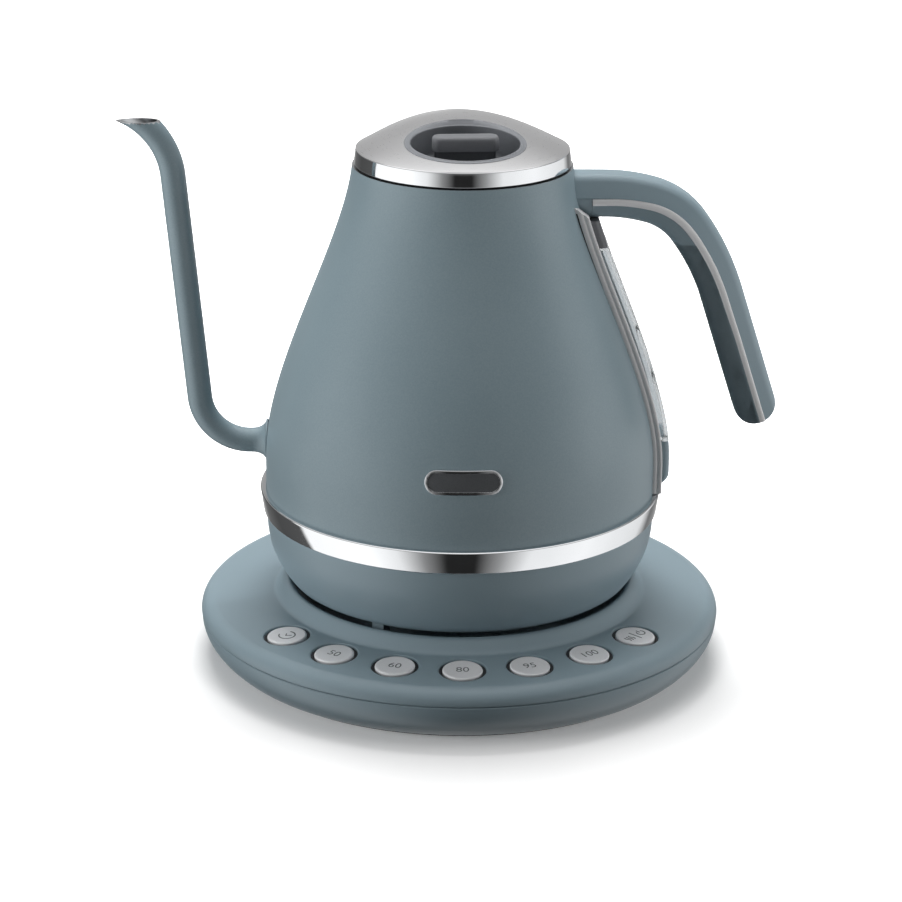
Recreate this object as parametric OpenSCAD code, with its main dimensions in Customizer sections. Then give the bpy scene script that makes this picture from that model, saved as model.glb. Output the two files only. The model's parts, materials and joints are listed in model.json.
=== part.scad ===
// Gooseneck kettle on a round base with seven preset buttons.
// Origin: the kettle's axis at the height of the surface that the base stands on.
// +Z is up, the spout points to -X, the handle and the water gauge are on +X,
// and the buttons face -Y.

/* [Base] */
// How far the base's edge, at its seam, stands out from the vessel's side
base_out = 26.95; // [24:0.05:32]
// How far the tray's foot lies inside the base's edge
tray_draw = 9.4; // [6.8:0.1:11.8]
// Height of the rubber foot ring below the tray
foot_h = 1.2; // [0.8:0.1:2]
// Radial width of the foot ring
foot_w = 8; // [5:0.5:10]
// Height of the tray from its bottom edge to the seam
tray_h = 15.7; // [14:0.1:18]
// Wall of the base mouldings
base_wall = 2.2; // [1.8:0.1:2.8]
// Radius of the rounded edge of the base cover
edge_r = 6.5; // [5:0.1:8]
// Outward fall of the button plate, in degrees
plate_fall = 3.8; // [2:0.1:6]
// How far the crest of the ridge round the well stands out from the skirt's foot
ridge_out = 1.6; // [1:0.1:3]
// Height of the ridge above the button plate
ridge_h = 3.9; // [3:0.1:4.2]
// Half width of the ridge
ridge_w = 5.6; // [5:0.1:6.6]
// Height of the well floor in the base cover
well_z = 22.4; // [21.5:0.1:23]

/* [Buttons] */
// Angle between neighbouring buttons, in degrees
button_step = 17.4; // [15:0.1:19]
// Distance of the buttons' circle from the base's edge
button_in = 18.8; // [17:0.1:21]
// Diameter of a button cap
cap_d = 15.4; // [13:0.1:16]
// Thickness of a button cap
cap_t = 3; // [2.5:0.1:3.5]
// How far a cap stands proud of the plate
cap_proud = 0.6; // [0.3:0.1:1.2]
// Diameter of the hole around each button
hole_d = 18.2; // [17.8:0.1:19.5]
// Travel of a button
button_travel = 1; // [0.6:0.1:1.4]
// Diameter of a button's stem
stem_d = 5; // [3:0.1:6]

/* [Electrics] */
// Diameter of the connector tower on the base
tower_d = 34; // [28:0.5:38]
// Height of the tower above the well floor
tower_h = 12; // [11:0.5:13]
// Thickness of the circuit boards
board_t = 1.6; // [1:0.1:2]
// Height of the tact switches on the control board
tact_h = 3.5; // [2.5:0.1:4]
// Bore of the cord gland
gland_bore_d = 6.4; // [5.6:0.1:7.2]
// Outer diameter of the cord gland
gland_d = 10.5; // [10:0.1:11.5]
// Length of the cord gland
gland_l = 13; // [11:0.5:15]
// Diameter of the heating element's sheath
element_d = 7; // [5:0.1:8]
// How far the heating element lies inside the circle of the bottom screws
element_in = 8; // [7.8:0.1:14]
// Thickness of the heater plate
heater_t = 1.8; // [1.2:0.1:2.4]
// Thickness of the heat spreader
spreader_t = 3; // [2:0.1:4]
// Diameter of the temperature probe
probe_d = 6; // [4:0.1:7]

/* [Vessel] */
// Diameter of the vessel at its foot
vessel_d = 155.7; // [154.8:0.1:156.2]
// Height of the vessel's bottom edge above the base's foot
vessel_bottom_z = 60; // [59:0.1:60.3]
// Height of the vessel's rim
vessel_top_z = 200; // [198:0.1:204]
// Diameter of the vessel at its rim
rim_d = 85.8; // [84:0.1:87]
// Height at which the side starts to lean in
shoulder_z = 81.9; // [79:0.1:85]
// Height of the belly's control point
belly_z = 117; // [112:0.1:122]
// Radius of the neck's control point
neck_r = 46; // [45:0.1:48]
// Height of the neck's control point
neck_z = 169; // [164:0.1:174]
// Wall of the vessel
vessel_wall = 0.9; // [0.6:0.05:1.2]
// Diameter of the filling opening
mouth_d = 77; // [75:0.1:78]

/* [Skirt] */
// Height of the skirt's bottom edge
skirt_z = 32; // [31.5:0.1:33]
// How far the skirt's foot lies inside the body's side
skirt_draw = 9.65; // [8.8:0.05:10.4]
// Wall of the skirt
skirt_wall = 2.2; // [1.6:0.1:2.6]
// Height of the chrome band
band_h = 9.2; // [7:0.1:10]
// How far the band's top edge stands out of the body
band_top_out = 2.35; // [1.6:0.05:3]
// How far the band's bottom edge stands out of the body
band_foot_out = 1.05; // [0.7:0.05:1.6]
// Height of the kettle's underside
underside_z = 31.2; // [30.8:0.1:31.6]
// Thickness of the bottom cover
bottom_t = 2.2; // [1.8:0.1:2.4]
// Width of a rest foot
rest_w = 5; // [4:0.5:8]

/* [Spout] */
// Outer diameter of the spout tube
spout_d = 9.8; // [8:0.1:10.6]
// Wall of the spout tube
spout_wall = 0.8; // [0.5:0.05:1]
// Height of the spout's root on the vessel
spout_z = 86.7; // [84:0.1:90]
// Distance of the lower bend's centre from the axis
spout_reach = 84; // [82:0.1:88]
// Radius of the lower bend
low_bend_r = 19.9; // [16:0.1:24]
// Lean of the rising tube away from the kettle, in degrees
spout_lean = 5.3; // [3:0.1:8]
// Length of the rising tube
riser_l = 90.6; // [88:0.1:93]
// Radius of the upper bend
top_bend_r = 31; // [30:0.5:36]
// Height of the cut at the spout's tip
tip_z = 216.5; // [210:0.1:217]

/* [Handle] */
// Thickness of the handle
handle_t = 16.8; // [14:0.1:18]
// Width of the handle
handle_w = 20; // [18:0.1:22]
// Radius of the handle's long edges
handle_edge_r = 5.6; // [4:0.1:6.5]
// Wall of the handle mouldings
handle_wall = 2.2; // [1.6:0.1:3]
// Height of the handle's level stretch
handle_z = 188.7; // [187:0.1:189]
// Distance from the axis at which the level stretch ends
handle_level_x = 55; // [53:0.1:60]
// Radius and turn, in degrees, of the first of three blended bends
bend1_r = 69; // [60:0.5:80]
bend1_turn = 15.2; // [12:0.1:18]
// Radius and turn, in degrees, of the middle bend
bend2_r = 27.9; // [24:0.1:32]
bend2_turn = 37.8; // [34:0.1:42]
// Radius and turn, in degrees, of the last bend
bend3_r = 91; // [80:0.5:100]
bend3_turn = 19; // [16:0.1:22]
// Length of the straight grip
grip_l = 54.5; // [50:0.5:64]
// Rounding of the grip's free end
grip_end_r = 7; // [5:0.1:8]
// Width of the trim strips
strip_w = 2; // [1.4:0.1:3]
// Depth of the trim strips
strip_t = 1; // [0.8:0.1:1.6]
// Thickness of the steel bracket inside the handle
bracket_t = 3; // [2:0.1:4]
// Width of the collar at the handle's root
collar_w = 24; // [22:0.1:25]

/* [Gauge] */
// Width of the gauge frame
frame_w = 32.6; // [28:0.1:34]
// How far the frame stands off the vessel
frame_proud = 1.9; // [1.5:0.1:2.5]
// How far the window stands off the vessel
window_proud = 5.4; // [4.8:0.1:6]
// Width of the window
window_w = 21; // [18:0.1:22]
// Wall of the window
window_wall = 1.4; // [1:0.1:1.8]
// Height of the frame's lower end
frame_z0 = 69.9; // [69.7:0.1:72]
// Height of the frame's upper end
frame_z1 = 184.5; // [180:0.1:186]
// Height of the window's lower end
window_z0 = 89.9; // [86:0.1:94]
// Height of the window's upper end
window_z1 = 169; // [164:0.1:171]
// Height of the lower block's bottom end
block_z0 = 71.5; // [71:0.1:74]
// Height of the upper block's top end
block_z1 = 180; // [178:0.1:180.2]
// Height of the upper level mark
mark_max_z = 133; // [125:0.5:140]
// Height of the lower level mark
mark_min_z = 113.5; // [105:0.5:120]

/* [Badge] */
// Width of the blank badge
badge_w = 29.4; // [24:0.1:34]
// Height of the blank badge
badge_h = 9.2; // [7:0.1:12]
// Height of the badge's centre
badge_z = 96.3; // [92:0.1:102]
// Width of the badge's rim
badge_rim = 1.1; // [0.8:0.1:1.6]

/* [Lid] */
// Diameter of the lid ring at its bottom edge
ring_bottom_d = 84.6; // [83:0.1:86]
// Diameter of the lid ring at its top edge
ring_top_d = 83; // [81:0.1:84]
// Height of the lid ring
ring_h = 5.9; // [5:0.1:7]
// Height of the lid's crest above the ring
dome_h = 8.6; // [8:0.1:12]
// How far the crest lies behind the axis
dome_back = 23.1; // [18:0.1:24]
// Wall of the lid's dome
dome_wall = 1; // [0.7:0.05:1.3]
// Turn of the lid about its axis, in degrees
lid_turn = 4; // [0:1:10]
// Outer diameter of the finger recess
recess_d = 47; // [44:0.1:48]
// Distance of the recess in front of the axis
recess_front = 11.2; // [9:0.1:12]
// Height of the recess's centre above the ring
recess_up = 3.8; // [3.4:0.1:4.2]
// Forward tilt of the recess, in degrees
recess_tilt = 5.5; // [4:0.1:7]
// Depth of the recess
recess_depth = 10.5; // [9:0.1:11]
// Width of the lip around the recess
lip_w = 3.2; // [2:0.1:4]
// Length of the grip bar
bar_l = 25.6; // [22:0.1:30]
// Thickness of the grip bar
bar_t = 7; // [6:0.1:9]
// Height of the grip bar
bar_h = 5.4; // [4:0.1:6]
// How far the bar stands above the lip
bar_proud = 2.5; // [1:0.1:3]
// Depth of the lid's plug below the rim
plug_h = 10; // [8:0.1:12]

/* [Hidden] */
$fn = 96;

// Clearances
run_gap = 0.3;   // between pieces that move apart
fit = 0.05;      // between pieces that are seated in one another
eps = 0.01;      // overlap of the stretches that make one solid
seam_gap = 0.3;  // open line between the cover and the tray
steps = 24;      // stretches of a curved outline
lap_turn = 0.01; // overlap of the bends, in degrees

// Colours
paint = [0.42, 0.49, 0.52];
charcoal = [0.17, 0.18, 0.19];
steel = [0.72, 0.72, 0.72];
polished = [0.86, 0.86, 0.87];
brass = [0.8, 0.65, 0.35];
rubber = [0.1, 0.1, 0.1];
board_green = [0.1, 0.35, 0.2];

// Base heights and radii
vessel_r = vessel_d / 2;
base_r = vessel_r + base_out;
button_r = base_r - button_in;
tray_foot_r = base_r - tray_draw;
seam_z = foot_h + tray_h;
edge_in_r = base_r - edge_r;
plate_drop = tan(plate_fall);
function plate_top(r) = seam_z + edge_r + (edge_in_r - r) * plate_drop;
function ridge(r) = abs(r - ridge_r) < ridge_w ? ridge_h * (1 + cos(180 * (r - ridge_r) / ridge_w)) / 2 : 0;
function cover_top(r) = plate_top(r) + ridge(r);
skirt_foot_r = vessel_r - skirt_draw;
ridge_r = skirt_foot_r + ridge_out;
well_side = 2;                      // from the ridge's crest to the well's wall
well_r = ridge_r - well_side;
ridge_out_r = ridge_r + ridge_w;
ridge_steps = 12;
tray_edge_r = base_r - 0.2;
tray_curve = 2.3;                   // exponent of the tray's rounded side
function tray_r(z) = tray_edge_r
  - (tray_edge_r - tray_foot_r) * pow(1 - (z - foot_h) / tray_h, tray_curve);
tray_floor_z = foot_h + base_wall;
foot_seat = 0.8;
foot_r = tray_foot_r - 2.4;

// Fasteners: shank radius, head radius, head height
screw_r = 1.4;
head_r = 2.7;
head_h = 1.6;
boss_r = 4;
base_screw_n = 4;
base_screw_in = 9.8;                // from the well's wall
base_screw_r = well_r - base_screw_in;
base_screw_turn = 45;
boss_join_z = 9;                    // where the tray's bosses meet the cover's

button_n = 7;

// Control board under the buttons
board_z = 12;
board_in_r = button_r - 9.5;
board_out_r = button_r + 7.5;
board_half_turn = button_step * (button_n - 1) / 2 + 8;
board_post_n = button_n - 1;
board_post_r = button_r;
tact_w = 6;

// Buttons, in a frame of their own on the plate
gasket_sink = 0.9;                  // the gasket's top below the plate
gasket_flange = 1.6;
membrane_t = 0.6;
membrane_z = -cap_t + cap_proud - button_travel - run_gap - membrane_t;
stem_end_z = board_z + board_t + tact_h + button_travel + run_gap;
front = -90;                        // the buttons' middle, as a turn from +X

// Power board at the back of the base
power_w = 58;
power_d = 28;
power_y = 42;
power_z = tray_floor_z + 3.6;

// Cord gland through the back of the tray
gland_z = tray_floor_z + gland_d / 2 + 1.6;
gland_flange_r = gland_d / 2 + 1.3;
gland_out_y = tray_r(gland_z) + 0.6;
gland_flange_l = gland_l - (gland_out_y - tray_r(tray_floor_z + 1) + base_wall + 1);

// Connector
tower_r = tower_d / 2;
tower_top_z = well_z + tower_h;
slot_in = [4.8, 10.3];              // inner radii of the two ring slots
slot_w = 2.4;
slot_depth = 7;
contact_t = 0.75;
housing_r = tower_r + 5;
cavity_r = tower_r + 0.8;
cavity_top_z = tower_top_z + 1.5;

// Vessel outline
rim_r = rim_d / 2;
mouth_r = mouth_d / 2;
rim_t = 1.2;
function bezier(a, b, c, d, t) =
  pow(1 - t, 3) * a + 3 * pow(1 - t, 2) * t * b + 3 * (1 - t) * t * t * c + pow(t, 3) * d;
side = [for (i = [0:steps]) bezier([vessel_r, shoulder_z], [vessel_r, belly_z], [neck_r, neck_z],
                                   [rim_r, vessel_top_z], i / steps)];
function side_r(z) = z <= shoulder_z ? vessel_r : lookup(z, [for (p = side) [p[1], p[0]]]);

// Underside of the kettle
plate_z = vessel_bottom_z + 0.4;
plate_r = vessel_r - vessel_wall - fit;
spreader_z = plate_z - spreader_t;
band_z = vessel_bottom_z + 0.2;
band_in_r = vessel_r + fit;
band_bevel = 0.6;
skirt_top_z = vessel_bottom_z - 0.2;
skirt_top_r = vessel_r - 0.2;
skirt_curve = 2.5;
function skirt_r(z) = skirt_top_r
  - (skirt_top_r - skirt_foot_r) * pow((skirt_top_z - z) / (skirt_top_z - skirt_z), skirt_curve);
bottom_r = skirt_foot_r - skirt_wall - fit;
bottom_rim_h = 5;
bottom_screw_n = 3;
bottom_screw_in = 9.95;             // from the bottom cover's edge
bottom_screw_r = bottom_r - bottom_screw_in;
spreader_r = bottom_screw_r + 4;
element_r = bottom_screw_r - element_in;
stud_r = 2.8;
stud_join_z = 46;
rest_n = 3;
rest_turn = -120;
rest_in = 6;                        // how far a rest foot reaches in from the cover's edge

// Spout path: centres of the bends, foot and top of the rising tube
spout_r = spout_d / 2;
spout_inside = 3;                   // how far the tube reaches into the vessel
low_c = [-spout_reach, spout_z + low_bend_r];
riser_foot = low_c - low_bend_r * [cos(spout_lean), sin(spout_lean)];
riser_top = riser_foot + riser_l * [-sin(spout_lean), cos(spout_lean)];
top_c = riser_top - top_bend_r * [cos(spout_lean), sin(spout_lean)];
tip_turn = 75;

// Handle path: the points where its stretches meet
handle_r = [bend1_r, bend2_r, bend3_r];
handle_a = [bend1_turn, bend2_turn, bend3_turn];
function turned(i) = i == 0 ? 0 : turned(i - 1) + handle_a[i - 1];
function spoke(i) = [sin(turned(i)), cos(turned(i))];
function bend_start(i) = i == 0 ? [handle_level_x, handle_z]
  : bend_start(i - 1) + handle_r[i - 1] * (spoke(i) - spoke(i - 1));
grip_start = bend_start(3);
grip_turn = turned(3);
collar_x = 49.9;                    // where the collar ends and the mouldings begin
grip_cap = 4;                       // solid length at the free end
bracket_w = 11;
handle_screw_y = 4;

// Gauge
slot_half = window_w / 2 + fit;
frame_slot_top = block_z1 - 0.2;
seal_t = 0.5;
port_z = [window_z0 - 8, window_z1 + 4];
port_r = 3;
mark_h = 0.8;

// Badge
badge_t = 1.2;

// Lid
ring_z = vessel_top_z + 0.6;
ring_top_z = ring_z + ring_h;
ring_bottom_r = ring_bottom_d / 2;
ring_top_r = ring_top_d / 2;
ring_t = 1.2;
recess_r = recess_d / 2;
cup_r = recess_r - lip_w;
cup_wall = 1.2;
lip_t = 0.8;
dome_rows = 12;
dome_cols = 60;
dome_round = 2.05;                  // exponent of the dome's level circles
dome_drift = 1.33;                  // exponent of their shift to the back
plug_r = mouth_r - 0.9;
plug_wall = 1.6;
plug_z = vessel_top_z - plug_h;
liner_t = 1.7;
lid_boss_at = [[0, 4], [12, -20], [-12, -20]];
lid_boss_r = 3;
lid_floor_z = plug_z + liner_t;
seal_in = 0.7;                      // depth of the seal's groove in the plug
seal_h = 3;
seal_z = plug_z + 2;
back_rise = 4.6;                    // extra tilt of the cup's rim at the back, in degrees
pedestal = [15, 4.4];

// ---------- helpers ----------

module around(n, r, turn = 0)
  for (i = [0:n - 1]) rotate(turn + i * 360 / n) translate([r, 0, 0]) children();

module revolve(points) rotate_extrude() polygon(points);

module tube(r, wall, h) difference() {
  cylinder(r = r, h = h);
  translate([0, 0, -1]) cylinder(r = r - wall, h = h + 2);
}

// A screw standing on its head
module screw(shank) {
  cylinder(r = head_r, h = head_h);
  translate([0, 0, head_h - eps]) cylinder(r = screw_r, h = shank + eps);
}

// The room that a screw takes, with the pocket under its head
module screw_room(shank, pocket) {
  translate([0, 0, -pocket]) cylinder(r = head_r + 0.3, h = pocket + head_h + fit);
  cylinder(r = screw_r + fit, h = head_h + shank + fit);
}

// Rectangle with round corners, centred
corner_steps = 6;
module soft_rect(a, b, r) polygon([for (q = [0:3], i = [0:corner_steps])
  let (t = 90 * (q + i / corner_steps), sx = q == 0 || q == 3 ? 1 : -1, sy = q < 2 ? 1 : -1)
  [sx * (a / 2 - r) + r * cos(t), sy * (b / 2 - r) + r * sin(t)]]);

// Round section of the spout, as a regular outline
disc_n = 40;
module disc(r) polygon([for (i = [0:disc_n - 1]) r * [cos(360 * i / disc_n), sin(360 * i / disc_n)]]);

module pill(a, b) {
  square([a - b, b], center = true);
  for (x = [-1, 1]) translate([x * (a - b) / 2, 0]) circle(b / 2);
}

// ---------- base ----------

module at_button(i)
  rotate(front + (i - (button_n - 1) / 2) * button_step)
    translate([button_r, 0, plate_top(button_r)]) rotate([0, plate_fall, 0]) children();

module at_board_post()
  for (i = [1:board_post_n])
    rotate(front + (i - button_n / 2) * button_step) translate([board_post_r, 0, 0]) children();

module at_power_post()
  for (x = [-1, 1], y = [-1, 1])
    translate([x * (power_w / 2 - 4), power_y + y * (power_d / 2 - 4), 0]) children();

module at_tact()
  for (i = [0:button_n - 1])
    rotate(front + (i - (button_n - 1) / 2) * button_step)
      translate([button_r - (plate_top(button_r) - stem_end_z) * plate_drop, 0, board_z + board_t]) children();

module gland_room(grow) translate([0, gland_out_y, gland_z]) rotate([90, 0, 0]) {
  translate([0, 0, -2]) cylinder(r = gland_d / 2 + grow, h = gland_l + 4);
  translate([0, 0, gland_l - gland_flange_l - 0.3])
    cylinder(r = gland_flange_r + grow, h = gland_flange_l + 2);
}

post_r = 3.2;
post_bore = 1.1;
pedestal_top_z = well_z - base_wall - 6;

module base_tray() color(paint) difference() {
  union() {
    revolve(concat(
      [[0, foot_h]],
      [for (i = [0:steps]) let (z = foot_h + (tray_h - seam_gap) * i / steps) [tray_r(z), z]],
      [for (i = [steps:-1:0]) let (z = tray_floor_z + (seam_z - seam_gap - tray_floor_z) * i / steps)
        [tray_r(z) - base_wall, z]],
      [[0, tray_floor_z]]));
    around(base_screw_n, base_screw_r, base_screw_turn)
      translate([0, 0, tray_floor_z - 1]) cylinder(r = boss_r, h = boss_join_z - tray_floor_z + 1);
    at_board_post() translate([0, 0, tray_floor_z - 1])
      cylinder(r = post_r, h = board_z - fit - tray_floor_z + 1);
    at_power_post() translate([0, 0, tray_floor_z - 1])
      cylinder(r = post_r, h = power_z - fit - tray_floor_z + 1);
    translate([0, 0, tray_floor_z - 1])
      tube(tower_r - 1, 3, pedestal_top_z - fit - tray_floor_z + 1);
  }
  translate([0, 0, foot_h - 1]) tube(foot_r + fit, foot_w + 2 * fit, foot_seat + 1);
  around(base_screw_n, base_screw_r, base_screw_turn)
    translate([0, 0, foot_h + 0.8]) screw_room(boss_join_z, 2);
  at_board_post() translate([0, 0, tray_floor_z]) cylinder(r = post_bore, h = board_z);
  at_power_post() translate([0, 0, tray_floor_z]) cylinder(r = post_bore, h = power_z);
  gland_room(fit);
}

module foot_ring() color(rubber) tube(foot_r, foot_w, foot_h + foot_seat - fit);

module base_cover() color(paint) difference() {
  union() {
    revolve(concat(
      [for (i = [0:8]) let (a = (90 - plate_fall) * i / 8)
        [edge_in_r + edge_r * cos(a), seam_z + edge_r * sin(a)]],
      [for (i = [0:ridge_steps]) let (r = ridge_out_r + (well_r - ridge_out_r) * i / ridge_steps)
        [r, cover_top(r)]],
      [[well_r, well_z], [0, well_z], [0, well_z - base_wall], [well_r + base_wall, well_z - base_wall]],
      [for (i = [ridge_steps:-1:0]) let (r = ridge_out_r + (well_r + base_wall - ridge_out_r) * i / ridge_steps)
        [r, cover_top(r) - base_wall]],
      [for (i = [8:-1:0]) let (a = (90 - plate_fall) * i / 8)
        [edge_in_r + (edge_r - base_wall) * cos(a), seam_z + (edge_r - base_wall) * sin(a)]]));
    translate([0, 0, seam_z - 1.2]) tube(tray_edge_r - base_wall - 0.5, 1.3, 5.2);
    around(base_screw_n, base_screw_r, base_screw_turn)
      translate([0, 0, boss_join_z + fit]) cylinder(r = boss_r, h = well_z - base_wall - boss_join_z);
  }
  translate([0, 0, well_z - base_wall - 1]) cylinder(r = tower_r + fit, h = base_wall + 2);
  around(base_screw_n, base_screw_r, base_screw_turn)
    translate([0, 0, foot_h + 0.8]) screw_room(boss_join_z + 4.5, 2);
  for (i = [0:button_n - 1]) at_button(i)
    translate([0, 0, -base_wall - 2]) cylinder(d = hole_d, h = base_wall + 4);
  gland_room(fit);
}

module base_screws() color(steel)
  around(base_screw_n, base_screw_r, base_screw_turn)
    translate([0, 0, foot_h + 0.8]) screw(boss_join_z + 4);

module slots(grow)
  for (r = slot_in) translate([0, 0, tower_top_z - slot_depth])
    tube(r + slot_w + grow, slot_w + 2 * grow, slot_depth + 1);

module base_connector() color(charcoal) difference() {
  union() {
    translate([0, 0, pedestal_top_z]) cylinder(r = tower_r, h = tower_top_z - pedestal_top_z);
    translate([0, 0, pedestal_top_z]) cylinder(r = tower_r + 3.5, h = 6 - fit);
  }
  slots(0);
  translate([0, 0, tower_top_z - slot_depth]) cylinder(r = 3, h = slot_depth + 1);
}

module base_contacts() color(brass) {
  for (r = slot_in) translate([0, 0, tower_top_z - slot_depth + fit])
    tube(r + slot_w - fit, contact_t, slot_depth - 1.5);
  translate([0, 0, tower_top_z - slot_depth + fit]) tube(3 - fit, 0.5, slot_depth - 1.5);
}

module control_board() color(board_green) difference() {
  translate([0, 0, board_z]) rotate(front - board_half_turn)
    rotate_extrude(angle = 2 * board_half_turn)
      translate([board_in_r, 0]) square([board_out_r - board_in_r, board_t]);
  at_board_post() translate([0, 0, board_z - 1]) cylinder(r = post_bore + 0.1, h = board_t + 2);
}

module tact_switches() color(charcoal) at_tact() {
  translate([-tact_w / 2, -tact_w / 2, fit]) cube([tact_w, tact_w, tact_h - 1]);
  translate([0, 0, fit]) cylinder(r = 1.7, h = tact_h - fit);
}

module small_screw() {
  translate([0, 0, fit]) cylinder(r = 2, h = 1.2);
  translate([0, 0, -board_t - 3]) cylinder(r = post_bore - fit, h = board_t + 4);
}

module board_screws() color(steel) {
  at_board_post() translate([0, 0, board_z + board_t]) small_screw();
  at_power_post() translate([0, 0, power_z + board_t]) small_screw();
}

module power_board() color(board_green) {
  difference() {
    translate([-power_w / 2, power_y - power_d / 2, power_z]) cube([power_w, power_d, board_t]);
    at_power_post() translate([0, 0, power_z - 1]) cylinder(r = post_bore + 0.1, h = board_t + 2);
  }
  translate([-16, power_y - 8, power_z + board_t - eps]) cube([19, 15.5, 8]);
  translate([8, power_y, power_z + board_t - eps]) cylinder(r = 4, h = 7);
  translate([18, power_y - 4, power_z + board_t - eps]) cube([7, 8, 6]);
}

module cord_gland() color(rubber) translate([0, gland_out_y, gland_z]) rotate([90, 0, 0])
  difference() {
    union() {
      cylinder(d = gland_d, h = gland_l);
      translate([0, 0, gland_l - gland_flange_l]) cylinder(r = gland_flange_r, h = gland_flange_l);
    }
    translate([0, 0, -1]) cylinder(d = gland_bore_d, h = gland_l + 2);
  }

module button_gaskets() color(rubber) for (i = [0:button_n - 1]) at_button(i) difference() {
  union() {
    translate([0, 0, membrane_z]) cylinder(d = hole_d - 2 * fit, h = -gasket_sink - membrane_z);
    translate([0, 0, membrane_z])
      cylinder(d = hole_d + 2 * gasket_flange, h = -base_wall - 0.2 - membrane_z);
  }
  translate([0, 0, membrane_z + membrane_t]) cylinder(d = cap_d + 2 * run_gap, h = cap_t + 3);
  translate([0, 0, membrane_z - 1]) cylinder(d = stem_d + 2 * run_gap, h = membrane_t + 2);
}

cap_round = 0.8;
stem_l = (plate_top(button_r) - stem_end_z) / cos(plate_fall) + cap_proud - cap_t + eps;

module push_button(i) color(polished) at_button(i) translate([0, 0, cap_proud - cap_t]) {
  rotate_extrude() {
    square([cap_d / 2 - cap_round, cap_t]);
    square([cap_d / 2, cap_t - cap_round]);
    translate([cap_d / 2 - cap_round, cap_t - cap_round]) circle(cap_round);
  }
  translate([0, 0, -stem_l]) cylinder(d = stem_d, h = stem_l + 1);
}

module button_1() push_button(0);
module button_2() push_button(1);
module button_3() push_button(2);
module button_4() push_button(3);
module button_5() push_button(4);
module button_6() push_button(5);
module button_7() push_button(6);

// ---------- kettle: body ----------

module vessel_solid(grow) revolve(concat(
  [[0, vessel_bottom_z - 6], [vessel_r + grow, vessel_bottom_z - 6]],
  [for (p = side) [p[0] + grow, p[1]]],
  [[0, vessel_top_z]]));

module at_port() for (z = port_z) translate([side_r(z), 0, z]) rotate([0, 90, 0]) children();

module vessel() color(paint) difference() {
  revolve(concat(
    [[vessel_r - vessel_wall, vessel_bottom_z], [vessel_r, vessel_bottom_z]], side,
    [[mouth_r, vessel_top_z], [mouth_r, vessel_top_z - rim_t],
     [side_r(vessel_top_z - rim_t) - vessel_wall, vessel_top_z - rim_t]],
    [for (i = [steps - 1:-1:0]) [side[i][0] - vessel_wall, side[i][1]]]));
  translate([-vessel_r / 2, 0, spout_z]) rotate([0, -90, 0]) cylinder(r = spout_r + fit, h = vessel_r);
  at_port() translate([0, 0, -8]) cylinder(r = port_r + fit, h = 12);
}

module chrome_band() color(polished) revolve([
  [band_in_r, band_z], [vessel_r + band_foot_out, band_z],
  [vessel_r + band_top_out, band_z + band_h - band_bevel], [vessel_r + band_top_out - band_bevel, band_z + band_h],
  [band_in_r, band_z + band_h]]);

ledge_z = underside_z + bottom_t + bottom_rim_h + fit;
ledge_t = 2;

module skirt() color(paint) {
  revolve(concat(
    [for (i = [0:steps]) let (z = skirt_z + (skirt_top_z - skirt_z) * i / steps) [skirt_r(z), z]],
    [for (i = [steps:-1:0]) let (z = skirt_z + (skirt_top_z - skirt_z) * i / steps)
      [skirt_r(z) - skirt_wall, z]]));
  translate([0, 0, ledge_z]) tube(skirt_r(ledge_z) - skirt_wall / 2, 8, ledge_t);
}

module at_rest() around(rest_n, 0, rest_turn) children();
module at_bottom_screw() around(bottom_screw_n, bottom_screw_r, rest_turn + 60) children();

module rest_foot(grow) translate([bottom_r - rest_in - grow, -rest_w / 2 - grow, well_z + run_gap - grow])
  cube([rest_in - 1 + 2 * grow, rest_w + 2 * grow, underside_z + bottom_t + 2 * fit - well_z - run_gap + 2 * grow]);

module bottom_cover() color(paint) difference() {
  union() {
    translate([0, 0, underside_z]) cylinder(r = bottom_r, h = bottom_t);
    translate([0, 0, underside_z]) tube(bottom_r, 1.8, bottom_t + bottom_rim_h);
    at_bottom_screw() translate([0, 0, underside_z]) cylinder(r = boss_r, h = stud_join_z - fit - underside_z);
  }
  translate([0, 0, underside_z - 1]) cylinder(r = housing_r + fit, h = bottom_t + 2);
  at_rest() rest_foot(fit);
  at_bottom_screw() translate([0, 0, underside_z + 0.8]) screw_room(stud_join_z, 2);
}

module bottom_screws() color(steel)
  at_bottom_screw() translate([0, 0, underside_z + 0.8]) screw(stud_join_z - underside_z + 4);

module rest_feet() color(paint) at_rest() {
  rest_foot(0);
  translate([bottom_r - rest_in - 1.5, -rest_w / 2 - 1.5, underside_z + bottom_t + fit])
    cube([rest_in - 1, rest_w + 3, 1.4]);
}

cutout_at = [0, 33];
probe_in = 15;                      // from the heating element's circle
probe_at = [0, probe_in - element_r];

module heater_plate() color(steel) translate([0, 0, plate_z]) difference() {
  cylinder(r = plate_r, h = heater_t);
  translate([probe_at[0], probe_at[1], -1]) cylinder(d = probe_d + 2 * fit, h = heater_t + 2);
}

module heat_spreader() color(steel) difference() {
  union() {
    translate([0, 0, spreader_z]) cylinder(r = spreader_r, h = spreader_t - fit);
    at_bottom_screw() translate([0, 0, stud_join_z]) cylinder(r = stud_r, h = spreader_z + 1 - stud_join_z);
  }
  translate([probe_at[0], probe_at[1], spreader_z - 1]) cylinder(d = probe_d + 2 * fit, h = spreader_t + 2);
  at_bottom_screw() translate([0, 0, stud_join_z - 1]) cylinder(r = screw_r + fit, h = 8);
}

element_gap = 60;
element_z = spreader_z - fit - element_d / 2;

module heating_element() color(steel) translate([0, 0, element_z]) {
  rotate(90 + element_gap / 2) rotate_extrude(angle = 360 - element_gap)
    translate([element_r, 0]) circle(d = element_d);
  for (t = [-1, 1]) rotate(90 + t * (element_gap / 2 + 3)) translate([element_r, 0, -12])
    cylinder(d = element_d - 2, h = 12);
}

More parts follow.
